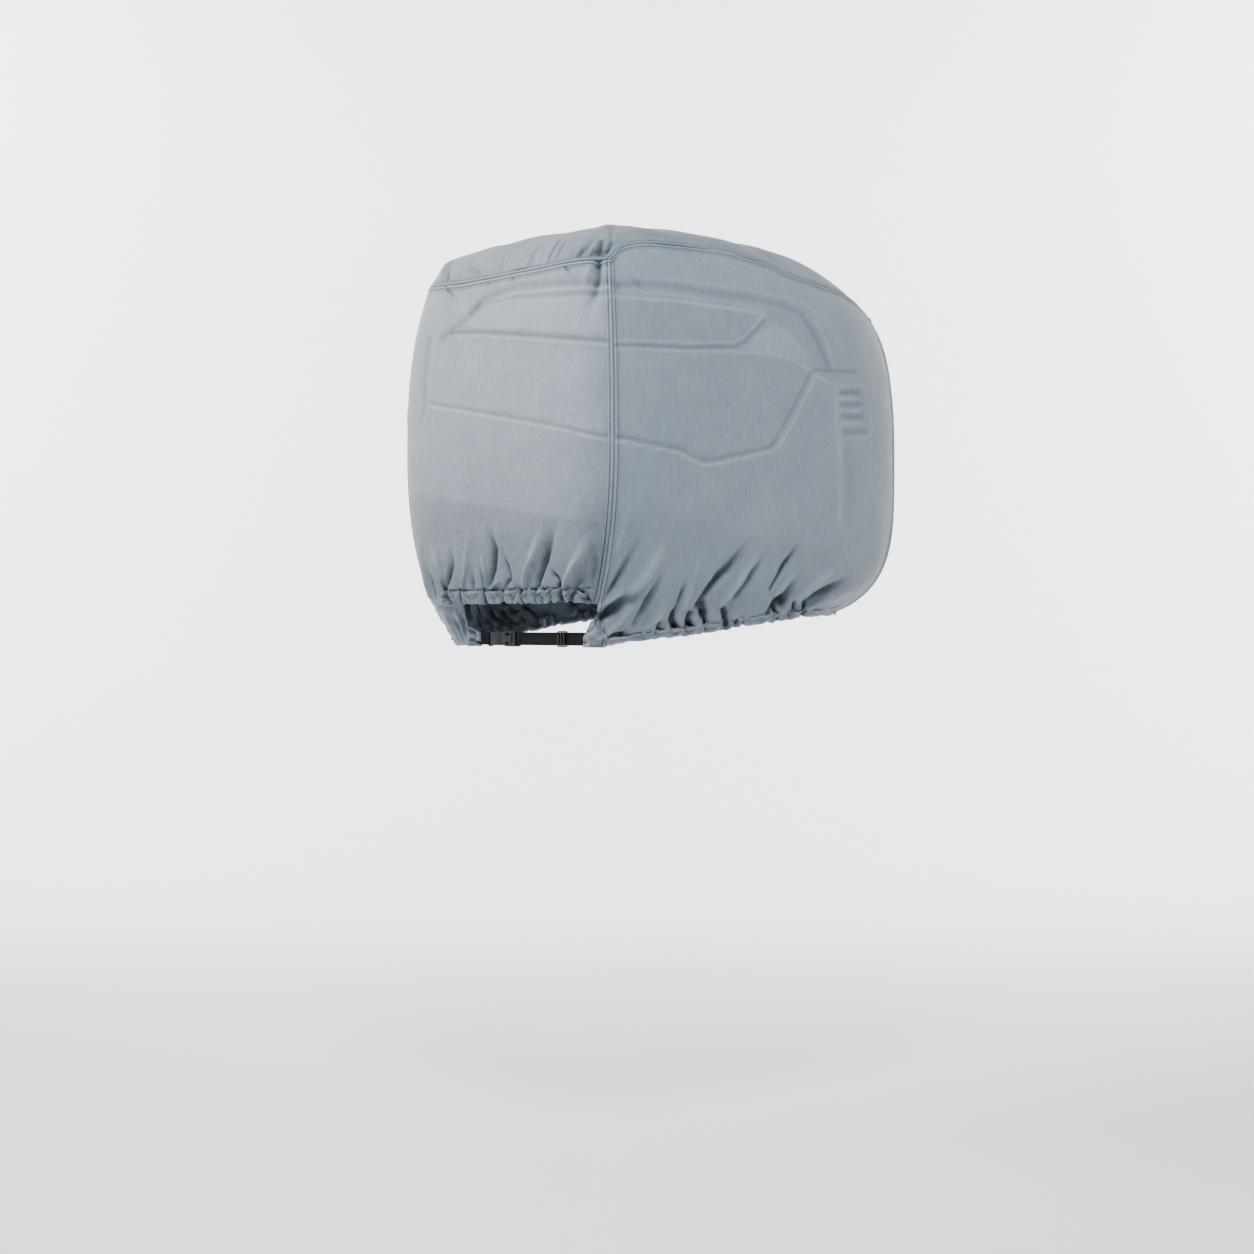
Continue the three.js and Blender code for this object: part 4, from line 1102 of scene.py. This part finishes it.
def dressRear():
    top, bottom = rearPanel["hemTop"], rearPanel["hemBottom"]

    def face(a):
        return np.full(np.shape(a), -1.0), a

    def hem(a):
        drawnUp = scallops(a * rearPanel["creaseReach"], rearCreases, rearPanel["scallop"])
        return bottom + drawnUp * smooth(0.62, 0.5, a)

    base = wallGrid(face, rearPanel, hem)
    normals, rim, relief, light = seamed(base)
    at, height = base[..., 1], base[..., 2]
    inside = smooth(8, 24, rim["left"]) * smooth(8, 24, rim["right"])
    atOpening = smooth(192, 168, at)  # towards port the hem runs flat into the corner
    below = smooth(top + 6, top - 2, height) * atOpening
    drawn, dark = pressField(at, height, rearPinches)
    fold = rearPanel["foldDepth"] * foldField(at, height, rearFolds)
    fold += gathers(at, height - top, rearCreases, *rearPanel["gathers"])
    fold = fold * (1 - below) + drawn
    lump = 1 - bell(nearestCrease(at, rearCreases), 9)
    middle = (height - (top + bottom) / 2) / 12.5
    tube = rearPanel["bulge"] * np.sqrt(np.clip(1 - middle ** 2, 0, 1)) * (0.3 + 0.8 * lump)
    tube = (tube - 3.2 * bell(height - top - 1, 2.4) * (0.5 + 0.5 * lump)) * atOpening
    slackLine = np.interp(at, rearPanel["slackAt"], rearPanel["slackFrom"])
    seed = rearPanel["seed"]
    fine = (ripples(at, height, seed, *rearPanel["fine"]) * smooth(230, 60, height)
            + ripples(at, height, seed + 5, *rearPanel["broad"])
            + ripples(at, height, seed + 8, *rearPanel["lumps"]) * below
            - rearPanel["slack"] * smooth(7, -7, height - slackLine))
    relief += (fold + fine) * inside + tube * (0.3 + 0.7 * inside)
    relief += edgePuckers(rim, at, height, rearPanel["puckers"], seed)
    pressed, shade = pressedThrough(at, height, rearPress, rearAreas)
    # Painted shade and highlight: the press lines and areas, painted shade towards the bottom, the
    # folds' troughs and ridges, and the pinched creases
    light += shade - 0.55 * smooth(360, 80, height) + paintedFoldShading(fold * inside) + dark * inside
    grid = finishGrid(base, normals, relief + pressed, light)
    sewSeams(grid, rim, rearPanel["stitchShare"])
    rowOfStitches(grid, -height, -(top + 1.0), False, (0.02, 0.98))
    return grid


addCloth("rearCloth", [withHem(dressRear())], "rear_panel")
print("rear cloth made")

topPanel = {
    "seamColumns": 168, "fineTo": 139, "fineStep": 2.8, "coarseFrom": 140, "coarseRows": 52,
    "noseRows": 36, "bellyRows": 52, "creases": (17, 34, 22), "firstCrease": -292,
    "gathers": (6, 30), "casing": (3.0, 9, 8), "groove": (2.5, 24, 3.5), "broad": (150, 1.7),
    "fine": (36, 0.5), "rearPuckers": (11, 14, 1.5, 3.2), "sidePuckers": (30, 12, 0.9, 9),
    "stitchShare": 0.98, "hemRow": 22.0,
}


def dressTopFront():
    # Roof and nose are one length of cloth: rows run from the rear seam over the roof to the nose hem
    fine = np.linspace(-1, 1, 801)
    reach = lengthsAlong(upperShell(fine, 0.0, 1.0, True))
    places = np.concatenate([
        seamShape["places"][:-1],
        np.arange(seamShape["places"][-1], topPanel["fineTo"], topPanel["fineStep"]),
        np.linspace(topPanel["coarseFrom"], reach[-1], topPanel["coarseRows"])])
    xs = np.interp(places, reach, fine)
    cross = lengthsAlong(upperShell(0.0, fine, 1.0, True))
    ys = np.interp(spread(cross[-1], topPanel["seamColumns"]), cross, fine)
    fall = np.linspace(0, 1, topPanel["noseRows"] + 1)[1:]
    shares = 1 - (1 - np.linspace(0, 1, topPanel["bellyRows"] + 1)[1:]) ** 1.5
    heights = mix(shell["waist"], shell["hemNose"] + hemRoll["radius"], shares[:, None])
    base = np.concatenate([upperShell(xs[:, None], ys[None, :], 1.0, True),
                           upperShell(1.0, ys[None, :], (1 - fall)[:, None]),
                           lowerShell(1.0, ys[None, :], heights)])
    normals, rim, relief, light = seamed(base)
    x, at, run, above = base[..., 0], base[..., 1], rim["top"], rim["bottom"]
    onRoof = np.arange(base.shape[0])[:, None] < len(xs)
    inside = smooth(8, 24, rim["left"]) * smooth(8, 24, rim["right"]) * smooth(7, 12, run)
    chance = np.random.default_rng(7)
    creases = np.cumsum(chance.uniform(*topPanel["creases"])) + topPanel["firstCrease"]
    pinch = gathers(at, above, creases, *topPanel["gathers"]) * np.where(onRoof, 0, 1)
    casing = hemBand(above, *topPanel["casing"]) - hemBand(above, *topPanel["groove"])
    onTop = foldField(x, at, roofFolds) * onRoof
    drawn, dark = pressField(x, at, roofPinches)
    waves = (ripples(at, run, 41, *topPanel["broad"])
             + ripples(at, run, 44, *topPanel["fine"]) * smooth(200, 20, above))
    small = puckers(at, run, 42, *topPanel["rearPuckers"]) * onRoof
    relief += (pinch + waves + onTop + drawn * onRoof) * inside + casing + small
    relief += (puckers(run, rim["left"], 43, *topPanel["sidePuckers"])
               + puckers(run, rim["right"], 45, *topPanel["sidePuckers"]))
    # Painted shade in the troughs and painted highlight on the ridges of the gathers, folds and puckers;
    # on the roof, painted shade in the pinches and over all but the nose end
    light += paintedFoldShading((pinch + onTop * 1.3 + small * 2.5) * inside)
    light += (dark * inside - 0.4 * smooth(330, -60, x)) * onRoof
    grid = finishGrid(base, normals, relief, light)
    sewSeams(grid, rim, topPanel["stitchShare"])
    rowOfStitches(grid, -above, -topPanel["hemRow"], False, (0.02, 0.98))
    return grid


addCloth("topFrontCloth", [withHem(dressTopFront())], "top_front_panel")
print("top and front cloth made")

strap = {"x": -362, "height": -22.5, "width": 25, "thickness": 1.6, "sliderFrom": -148,
         "socketFrom": -8, "plugFrom": 41.3, "plugTo": 92}
tab = {
    "steps": 44, "around": 96, "backInside": [1.0, 0.96, 0.86], "thickness": 6, "rootHalf": 0.9,
    "lining": 1.3, "rootRise": 16, "lowRise": 2.0, "overlap": 5, "rowAt": 4,
    "waves": ((0.16, 0.28, -4.2), (0.34, 0.4, 3.4), (0.52, 0.42, -4.0), (0.72, 0.3, 2.6)),
}
# Each tab's open end, creases and shaded areas are given as (place, height), like the folds above
tabs = {
    "starboard": {
        "towards": 1, "flat": (0.062, 0.058), "ends": [(-224, 12), (-211, -6), (-203, -19), (-199, -40)],
        "creases": [([(-199, -9), (-224, -7), (-250, -5), (-268, 8)], -1.4, 2.0, -0.8),
                    ([(-224, -9), (-221, -22)], -1.0, 1.8, -0.6),
                    ([(-226, -15), (-247, -12), (-262, -2)], 1.2, 4.5, 0.4),
                    ([(-250, 16), (-262, 20)], 1.0, 3, 0.9),
                    ([(-236, 6), (-250, 0), (-262, 10)], -1.5, 2.6, -0.6)],
        "areas": [([(-218, 15), (-235, 4), (-218, -5), (-201, -9), (-207, 4)], 0.5, 2),
                  ([(-224, 22), (-247, 30), (-275, 33), (-275, 12), (-250, -1), (-226, -4), (-237, 4)],
                   -1.2, 2.5),
                  ([(-222, -24), (-262, -24), (-262, -44), (-213, -44)], -1.1, 2)]},
    "port": {
        "towards": -1, "flat": (0.041, 0.042), "ends": [(115, -11), (115, -24), (119, -40)],
        "creases": [([(116, -16), (135, -10), (160, -2)], -1.4, 2.2, -0.6),
                    ([(116, -30), (140, -26)], -1.2, 2, -0.5),
                    ([(122, -20), (150, -14)], 1.2, 4, 0.3)],
        "areas": [([(112, -30), (150, -34), (150, -44), (112, -44)], -0.5, 3)]},
}


def faceOutwards(form, mesh):
    bmesh.ops.recalc_face_normals(form, faces=form.faces)
    form.to_mesh(mesh)
    form.free()


def ringMesh(name, rings):  # rings of points joined into a closed form
    rows, columns = rings.shape[:2]
    faces = ringFaces(rows, columns)
    faces.append(tuple(range(columns)))
    faces.append(tuple(reversed(range((rows - 1) * columns, rows * columns))))
    mesh = bpy.data.meshes.new(name)
    mesh.from_pydata([tuple(p) for p in inMetres(rings.reshape(-1, 3))], [], faces)
    form = bmesh.new()
    form.from_mesh(mesh)
    faceOutwards(form, mesh)
    return mesh


def addTab(name, edge, row, node):
    # A flat sleeve: rings run round it, from the lobe's edge to the open mouth and a little back inside
    ends = np.array(row["ends"][::-1], float)
    lowEdge, mouthTop = ends[0, 1] + tab["lowRise"], ends[-1, 1]
    rootTop = min(mouthTop + tab["rootRise"], edge[:, 2].max())
    t = np.concatenate([np.linspace(0, 1, tab["steps"]), tab["backInside"]])[:, None]
    outer = np.arange(len(t))[:, None] < tab["steps"]
    turn = np.linspace(0, 2 * math.pi, tab["around"] + 1)[:-1]
    c, s = np.cos(turn), np.sin(turn)
    share = 0.5 + 0.5 * np.sign(s) * abs(s) ** 0.55
    highEdge = mix(rootTop, mouthTop, np.minimum(t * 1.15, 1.0))
    level = mix(lowEdge, highEdge, share)
    tip = np.interp(level, ends[:, 1], ends[:, 0])
    order = np.argsort(edge[:, 2])
    rootX, rootY = (np.interp(level, edge[order, 2], edge[order, k]) for k in (0, 1))
    half = mix(tab["rootHalf"], tab["thickness"] / 2, smooth(0, 0.35, t)) - tab["lining"] * ~outer
    level = np.where(outer, level, mix(lowEdge + 2, highEdge - 2, share))
    x = mix(rootX - 0.6, strap["x"], smooth(0, 0.65, t))
    y = mix(rootY - row["towards"] * tab["overlap"], tip, t)
    wave = 0.7 * np.sin(level * 0.21 + t * 5) + 0.5 * np.sin(level * 0.47 - t * 8)
    for place, slant, lift in tab["waves"]:
        wave += lift * (1 - 0.85 * t) * bell(share - place - slant * (1 - t), 0.1)
    fromRow = np.abs(y - tip) - tab["rowAt"]
    x -= np.sign(c) * abs(c) ** 0.45 * (half - 0.8 * bell(fromRow, 1.1) * outer) + 0.8 * wave * outer
    # Painted light and shade: the tab's creases and shaded areas, lighter and darker with its waves,
    # darker towards the root and along the row of stitches, and much darker on the lining inside the
    # mouth
    sunk, light = pressField(y, level, row["creases"])
    x -= sunk * smooth(0, 0.4, c) * outer
    light += toneAreas(y, level, row["areas"]) - 0.35 + 0.28 * np.clip(wave, -4, 3)
    light -= 0.5 * (1 - t) + 1.5 * ~outer + 0.7 * bell(fromRow, 1.2)
    rings = np.stack([x, y, level], -1)
    mesh = ringMesh(name, rings)
    setWeave(mesh, inMetres(rings.reshape(-1, 3))[:, 1:])
    setTone(mesh, light.ravel())
    made = addPiece(name, mesh, clothLook, node)
    front = rings[tab["steps"] - 4][c > 0.25]
    front = front[np.argsort(front[:, 2])]
    stitchRows.append((front, np.tile([-1.0, 0, 0], (len(front), 1))))


addTab("strapTabStarboard", starboardGrid["points"][:, 0], tabs["starboard"], "strap_tab_starboard")
addTab("strapTabPort", portLobeGrid["points"][:, -1], tabs["port"], "strap_tab_port")
print("tabs made")


def ribbon(name, path, width, thickness, node, level):
    # A flat band along a path seen from above, standing on edge, with softly rounded edges
    path = np.array(path, float)
    run = np.gradient(path, axis=0)
    out = unit(np.stack([run[:, 1], -run[:, 0]], -1))
    half = width / 2
    rising = [-half, -half + 0.5, -half + 1.6, -half / 2, 0, half / 2, half - 1.6, half - 0.5, half]
    thin = np.array([0.45, 0.85, 1, 0.96, 0.94, 0.96, 1, 0.85, 0.45]) * thickness / 2
    across = np.array(rising + rising[::-1])
    thin = np.concatenate([thin, -thin[::-1]])
    plan = path[:, None] + out[:, None] * thin[:, None]
    heights = np.broadcast_to(level, len(path))[:, None] + across
    mesh = ringMesh(name, np.concatenate([plan, heights[..., None]], -1))
    weave = [np.repeat(lengthsAlong(path), len(across)), np.tile(across, len(path))]
    setWeave(mesh, np.stack(weave, -1) / 1000)
    addPiece(name, mesh, webbingLook, node)


loop = {"gap": 0.95, "wave": 0.12, "waveRate": 0.16, "bar": 2.7, "beforeBar": 5.5, "turn": 70,
        "steps": 22}


def loopPath(start, barY, towards, endY, outerTail=()):
    # Along the outer layer, round the bar and back along the inner layer
    x = strap["x"]
    near = barY - towards * loop["beforeBar"]
    points = list(outerTail)
    for y in np.linspace(start, near, loop["steps"]):
        points.append((x - loop["gap"] - loop["wave"] * math.sin(y * loop["waveRate"]), y))
    for angle in np.linspace(-loop["turn"], loop["turn"], 11):
        a = math.radians(angle)
        points.append((x + loop["bar"] * math.sin(a), barY + towards * loop["bar"] * math.cos(a)))
    for y in np.linspace(near, endY, loop["steps"]):
        points.append((x + loop["gap"] + loop["wave"] * math.sin(y * loop["waveRate"]), y))
    return points


def addWebbing():
    # The long webbing is single up to the slider and doubled from there to the socket's bar
    folded = strap["sliderFrom"] - 6
    single = [(strap["x"], y) for y in np.linspace(-208, folded, 10)]
    single.append((strap["x"] - loop["gap"] * 0.6, folded + 2.5))
    long = loopPath(folded + 5, strap["socketFrom"] + 1.5, 1, strap["sliderFrom"] + 4, single)
    short = loopPath(129, strap["plugTo"] - 1.5, -1, 129)
    for name, path, node in (("webbingLong", long, "strap_webbing_long"),
                             ("webbingShort", short, "strap_webbing_short")):
        ribbon(name, path, strap["width"], strap["thickness"], node, strap["height"])


stay = {
    "path": [(-358, 121), (-358, 120), (-359, 119.6), (-364, 115.5), (-371, 110.5), (-378, 107),
             (-384, 103), (-388, 99)],
    "heights": [-13, -2, 8, 17, 28, 40, 52, 62], "width": 8, "thickness": 1.5,
}
addWebbing()
ribbon("stayWebbing", stay["path"], stay["width"], stay["thickness"], "stay_webbing", stay["heights"])


def mouldedPlate(name, start, outline, holes, fromX, toX, bevel):
    # A plate in the plane of the strap with rounded edges. Outlines are (Y, height) pairs.
    curve = bpy.data.curves.new(name, "CURVE")
    curve.dimensions = "2D"
    curve.fill_mode = "BOTH"
    for line in [outline] + holes:
        spline = curve.splines.new("POLY")
        spline.points.add(len(line) - 1)
        for point, (y, h) in zip(spline.points, line):
            point.co = ((start + y) / 1000, (strap["height"] + h) / 1000, 0, 1)
        spline.use_cyclic_u = True
    curve.extrude = ((toX - fromX) / 2 - bevel) / 1000
    curve.bevel_depth = bevel / 1000
    curve.bevel_resolution = 3
    curve.offset = -bevel / 1000
    holder = bpy.data.objects.new(name, curve)
    bpy.context.scene.collection.objects.link(holder)
    bpy.context.view_layer.update()
    mesh = bpy.data.meshes.new_from_object(holder.evaluated_get(bpy.context.evaluated_depsgraph_get()))
    bpy.data.objects.remove(holder)
    places = np.zeros(len(mesh.vertices) * 3)
    mesh.vertices.foreach_get("co", places)
    places = places.reshape(-1, 3)[:, [2, 0, 1]]
    places += [(strap["x"] + (fromX + toX) / 2) / 1000, 0, -cover["originHeight"] / 1000]
    mesh.vertices.foreach_set("co", places.ravel())
    mesh.update()
    return mesh


def box(y0, y1, h0, h1, r):  # an oblong with round corners
    points = []
    for cy, ch, start in ((y1 - r, h1 - r, 0), (y0 + r, h1 - r, 90), (y0 + r, h0 + r, 180),
                          (y1 - r, h0 + r, 270)):
        for k in range(6):
            a = math.radians(start + 18 * k)
            points.append((cy + r * math.cos(a), ch + r * math.sin(a)))
    return points


# Fittings are made of plates: outline, holes, reach outwards and inwards from the strap, and bevel.
# Places run from the fitting's start, and heights from the middle of the strap.
sliderPlates = [
    (box(0, 22, -15.5, 15.5, 3), [box(4.5, 9, -13, 13, 1), box(13, 17.5, -13, 13, 1)], -4.3, -2.3, 0.8),
    (box(0, 22, -15.5, 15.5, 3), [box(4, 18, -13, 13, 1)], 2.3, 4.3, 0.8),
    (box(1, 21, 13, 15.4, 1), [], -3.4, 3.4, 0.6),
    (box(1, 21, -15.4, -13, 1), [], -3.4, 3.4, 0.6),
]
socketWall = [(9.5, -13.3), (13, -15.3), (36, -15.5), (46.5, -14.2), (49, -12.5),
              (49, 12.5), (46.5, 14.2), (36, 15.5), (13, 15.3), (9.5, 13.3)]
socketWindows = [box(29, 40, 6.5, 11.5, 2), box(29, 40, -11.5, -6.5, 2)]
socketPlates = [
    (socketWall, socketWindows + [box(17.5, 20.4, -9.5, 9.5, 1.2)], -5.5, -2.6, 1.1),
    (socketWall, socketWindows, 2.6, 5.5, 1.1),
    (box(11, 46, 12.2, 15.0, 1), [], -4.6, 4.6, 0.8),
    (box(11, 46, -15.0, -12.2, 1), [], -4.6, 4.6, 0.8),
    (box(0, 14, -15.5, 15.5, 3.5), [box(3.2, 9.5, -13.2, 13.2, 1)], -2.2, 2.2, 1.0),
    (box(12, 20, -12, 12, 1), [], -3.5, 3.5, 0.6),
]
plugBody = [(0, -12.2), (5, -13.4), (35.7, -13.4), (40.9, -13.2), (40.9, 13.2), (35.7, 13.4),
            (5, 13.4), (0, 12.2)]
plugPlates = [
    (plugBody, [], -4.0, 4.0, 1.3),
    (box(8, 10.4, -10, 10, 1), [], -4.6, -2.6, 0.6),
    (box(14, 16.4, -10, 10, 1), [], -4.6, -2.6, 0.6),
    (box(37.7, 50.7, -15.5, 15.5, 3), [box(41.2, 47.6, -13.2, 13.2, 1)], -2.3, 2.3, 1.0),
    (box(-11, 3, -8.5, 8.5, 2), [], -2, 2, 0.8),
]


def addFitting(name, start, plates, node):
    form = bmesh.new()
    for plate in plates:
        form.from_mesh(mouldedPlate(name, start, *plate))
    bmesh.ops.remove_doubles(form, verts=form.verts, dist=1e-6)
    mesh = bpy.data.meshes.new(name)
    faceOutwards(form, mesh)
    addPiece(name, mesh, plasticLook, node, 38)


addFitting("sliderBody", strap["sliderFrom"], sliderPlates, "slider")
addFitting("buckleSocket", strap["socketFrom"], socketPlates, "buckle_socket")
addFitting("bucklePlug", strap["plugFrom"], plugPlates, "buckle_plug")
print("strap and buckle made")

stitch = {"pitch": 4.2, "length": 3.1, "width": 0.85, "height": 0.62, "seed": 3, "lift": 0.12,
          "smallest": 0.86, "largest": 1.1}


def stitchTree():
    tree = bpy.data.node_groups.new("stitchRow", "GeometryNodeTree")
    kinds = {"Geometry": "Geometry", "Pitch": "Float", "Length": "Float", "Width": "Float",
             "Height": "Float", "Seed": "Int", "Thread": "Material"}
    for name, kind in kinds.items():
        tree.interface.new_socket(name, in_out="INPUT", socket_type="NodeSocket" + kind)
    tree.interface.new_socket("Geometry", in_out="OUTPUT", socket_type="NodeSocketGeometry")
    start = Wire(tree)
    given = {name: start.node("NodeGroupInput", {}, {}, name) for name in kinds}
    line = start.node("GeometryNodeMeshToCurve", {}, {"Mesh": given["Geometry"]})
    places = start.node("GeometryNodeResampleCurve", {"mode": "LENGTH"}, {
        "Curve": line, "Length": given["Pitch"]})
    thread = start.node("GeometryNodeMeshIcoSphere", {}, {"Radius": 0.5, "Subdivisions": 1})
    size = start.node("ShaderNodeCombineXYZ", {}, {
        "X": given["Length"], "Y": given["Width"], "Z": given["Height"]})
    thread = start.node("GeometryNodeTransform", {}, {"Geometry": thread, "Scale": size})
    thread = start.node("GeometryNodeSetShadeSmooth", {}, {"Geometry": thread})
    outward = start.node("GeometryNodeInputNamedAttribute", {"data_type": "FLOAT_VECTOR"},
                         {"Name": "out"}, "Attribute")
    turn = start.node("FunctionNodeAxesToRotation", {"primary_axis": "X", "secondary_axis": "Z"}, {
        "Primary Axis": start.node("GeometryNodeInputTangent", {}, {}), "Secondary Axis": outward})
    uneven = start.node("FunctionNodeRandomValue", {"data_type": "FLOAT"}, {
        2: stitch["smallest"], 3: stitch["largest"], "Seed": given["Seed"]}, 1)
    laid = start.node("GeometryNodeInstanceOnPoints", {}, {
        "Points": places, "Instance": thread, "Rotation": turn, "Scale": uneven})
    real = start.node("GeometryNodeRealizeInstances", {}, {"Geometry": laid})
    look = start.node("GeometryNodeSetMaterial", {}, {"Geometry": real, "Material": given["Thread"]})
    start.node("NodeGroupOutput", {}, {"Geometry": look})
    return tree


def sewRows(name, rows, tree):
    points, out, edges = [], [], []
    for line, facingOut in rows:
        start = len(points)
        points.extend(inMetres(line + facingOut * stitch["lift"]))
        out.extend(facingOut)
        edges.extend((start + i, start + i + 1) for i in range(len(line) - 1))
    mesh = bpy.data.meshes.new(name)
    mesh.from_pydata([tuple(p) for p in points], edges, [])
    attribute = mesh.attributes.new("out", "FLOAT_VECTOR", "POINT")
    attribute.data.foreach_set("vector", np.array(out, float).ravel())
    path = bpy.data.objects.new(name + "Path", mesh)
    bpy.context.scene.collection.objects.link(path)
    modifier = path.modifiers.new("stitchRow", "NODES")
    modifier.node_group = tree
    values = {key.capitalize(): stitch[key] / 1000 for key in ("pitch", "length", "width", "height")}
    values.update({"Seed": stitch["seed"], "Thread": threadLook})
    for item in tree.interface.items_tree:
        if item.in_out == "INPUT" and item.name in values:
            modifier[item.identifier] = values[item.name]
    bpy.context.view_layer.update()
    sewn = bpy.data.meshes.new_from_object(path.evaluated_get(bpy.context.evaluated_depsgraph_get()))
    sewn.name = name
    bpy.data.objects.remove(path)
    made = bpy.data.objects.new(name, sewn)
    bpy.context.scene.collection.objects.link(made)
    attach(made, "root")
    return sewn


sewn = sewRows("topStitching", stitchRows, stitchTree())
print("stitches made:", len(sewn.polygons), "faces")

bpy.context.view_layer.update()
for piece in bpy.context.scene.objects:
    if piece.type == "MESH" and not piece.hide_render:
        print(piece.name, sum(len(p.vertices) - 2 for p in piece.data.polygons))
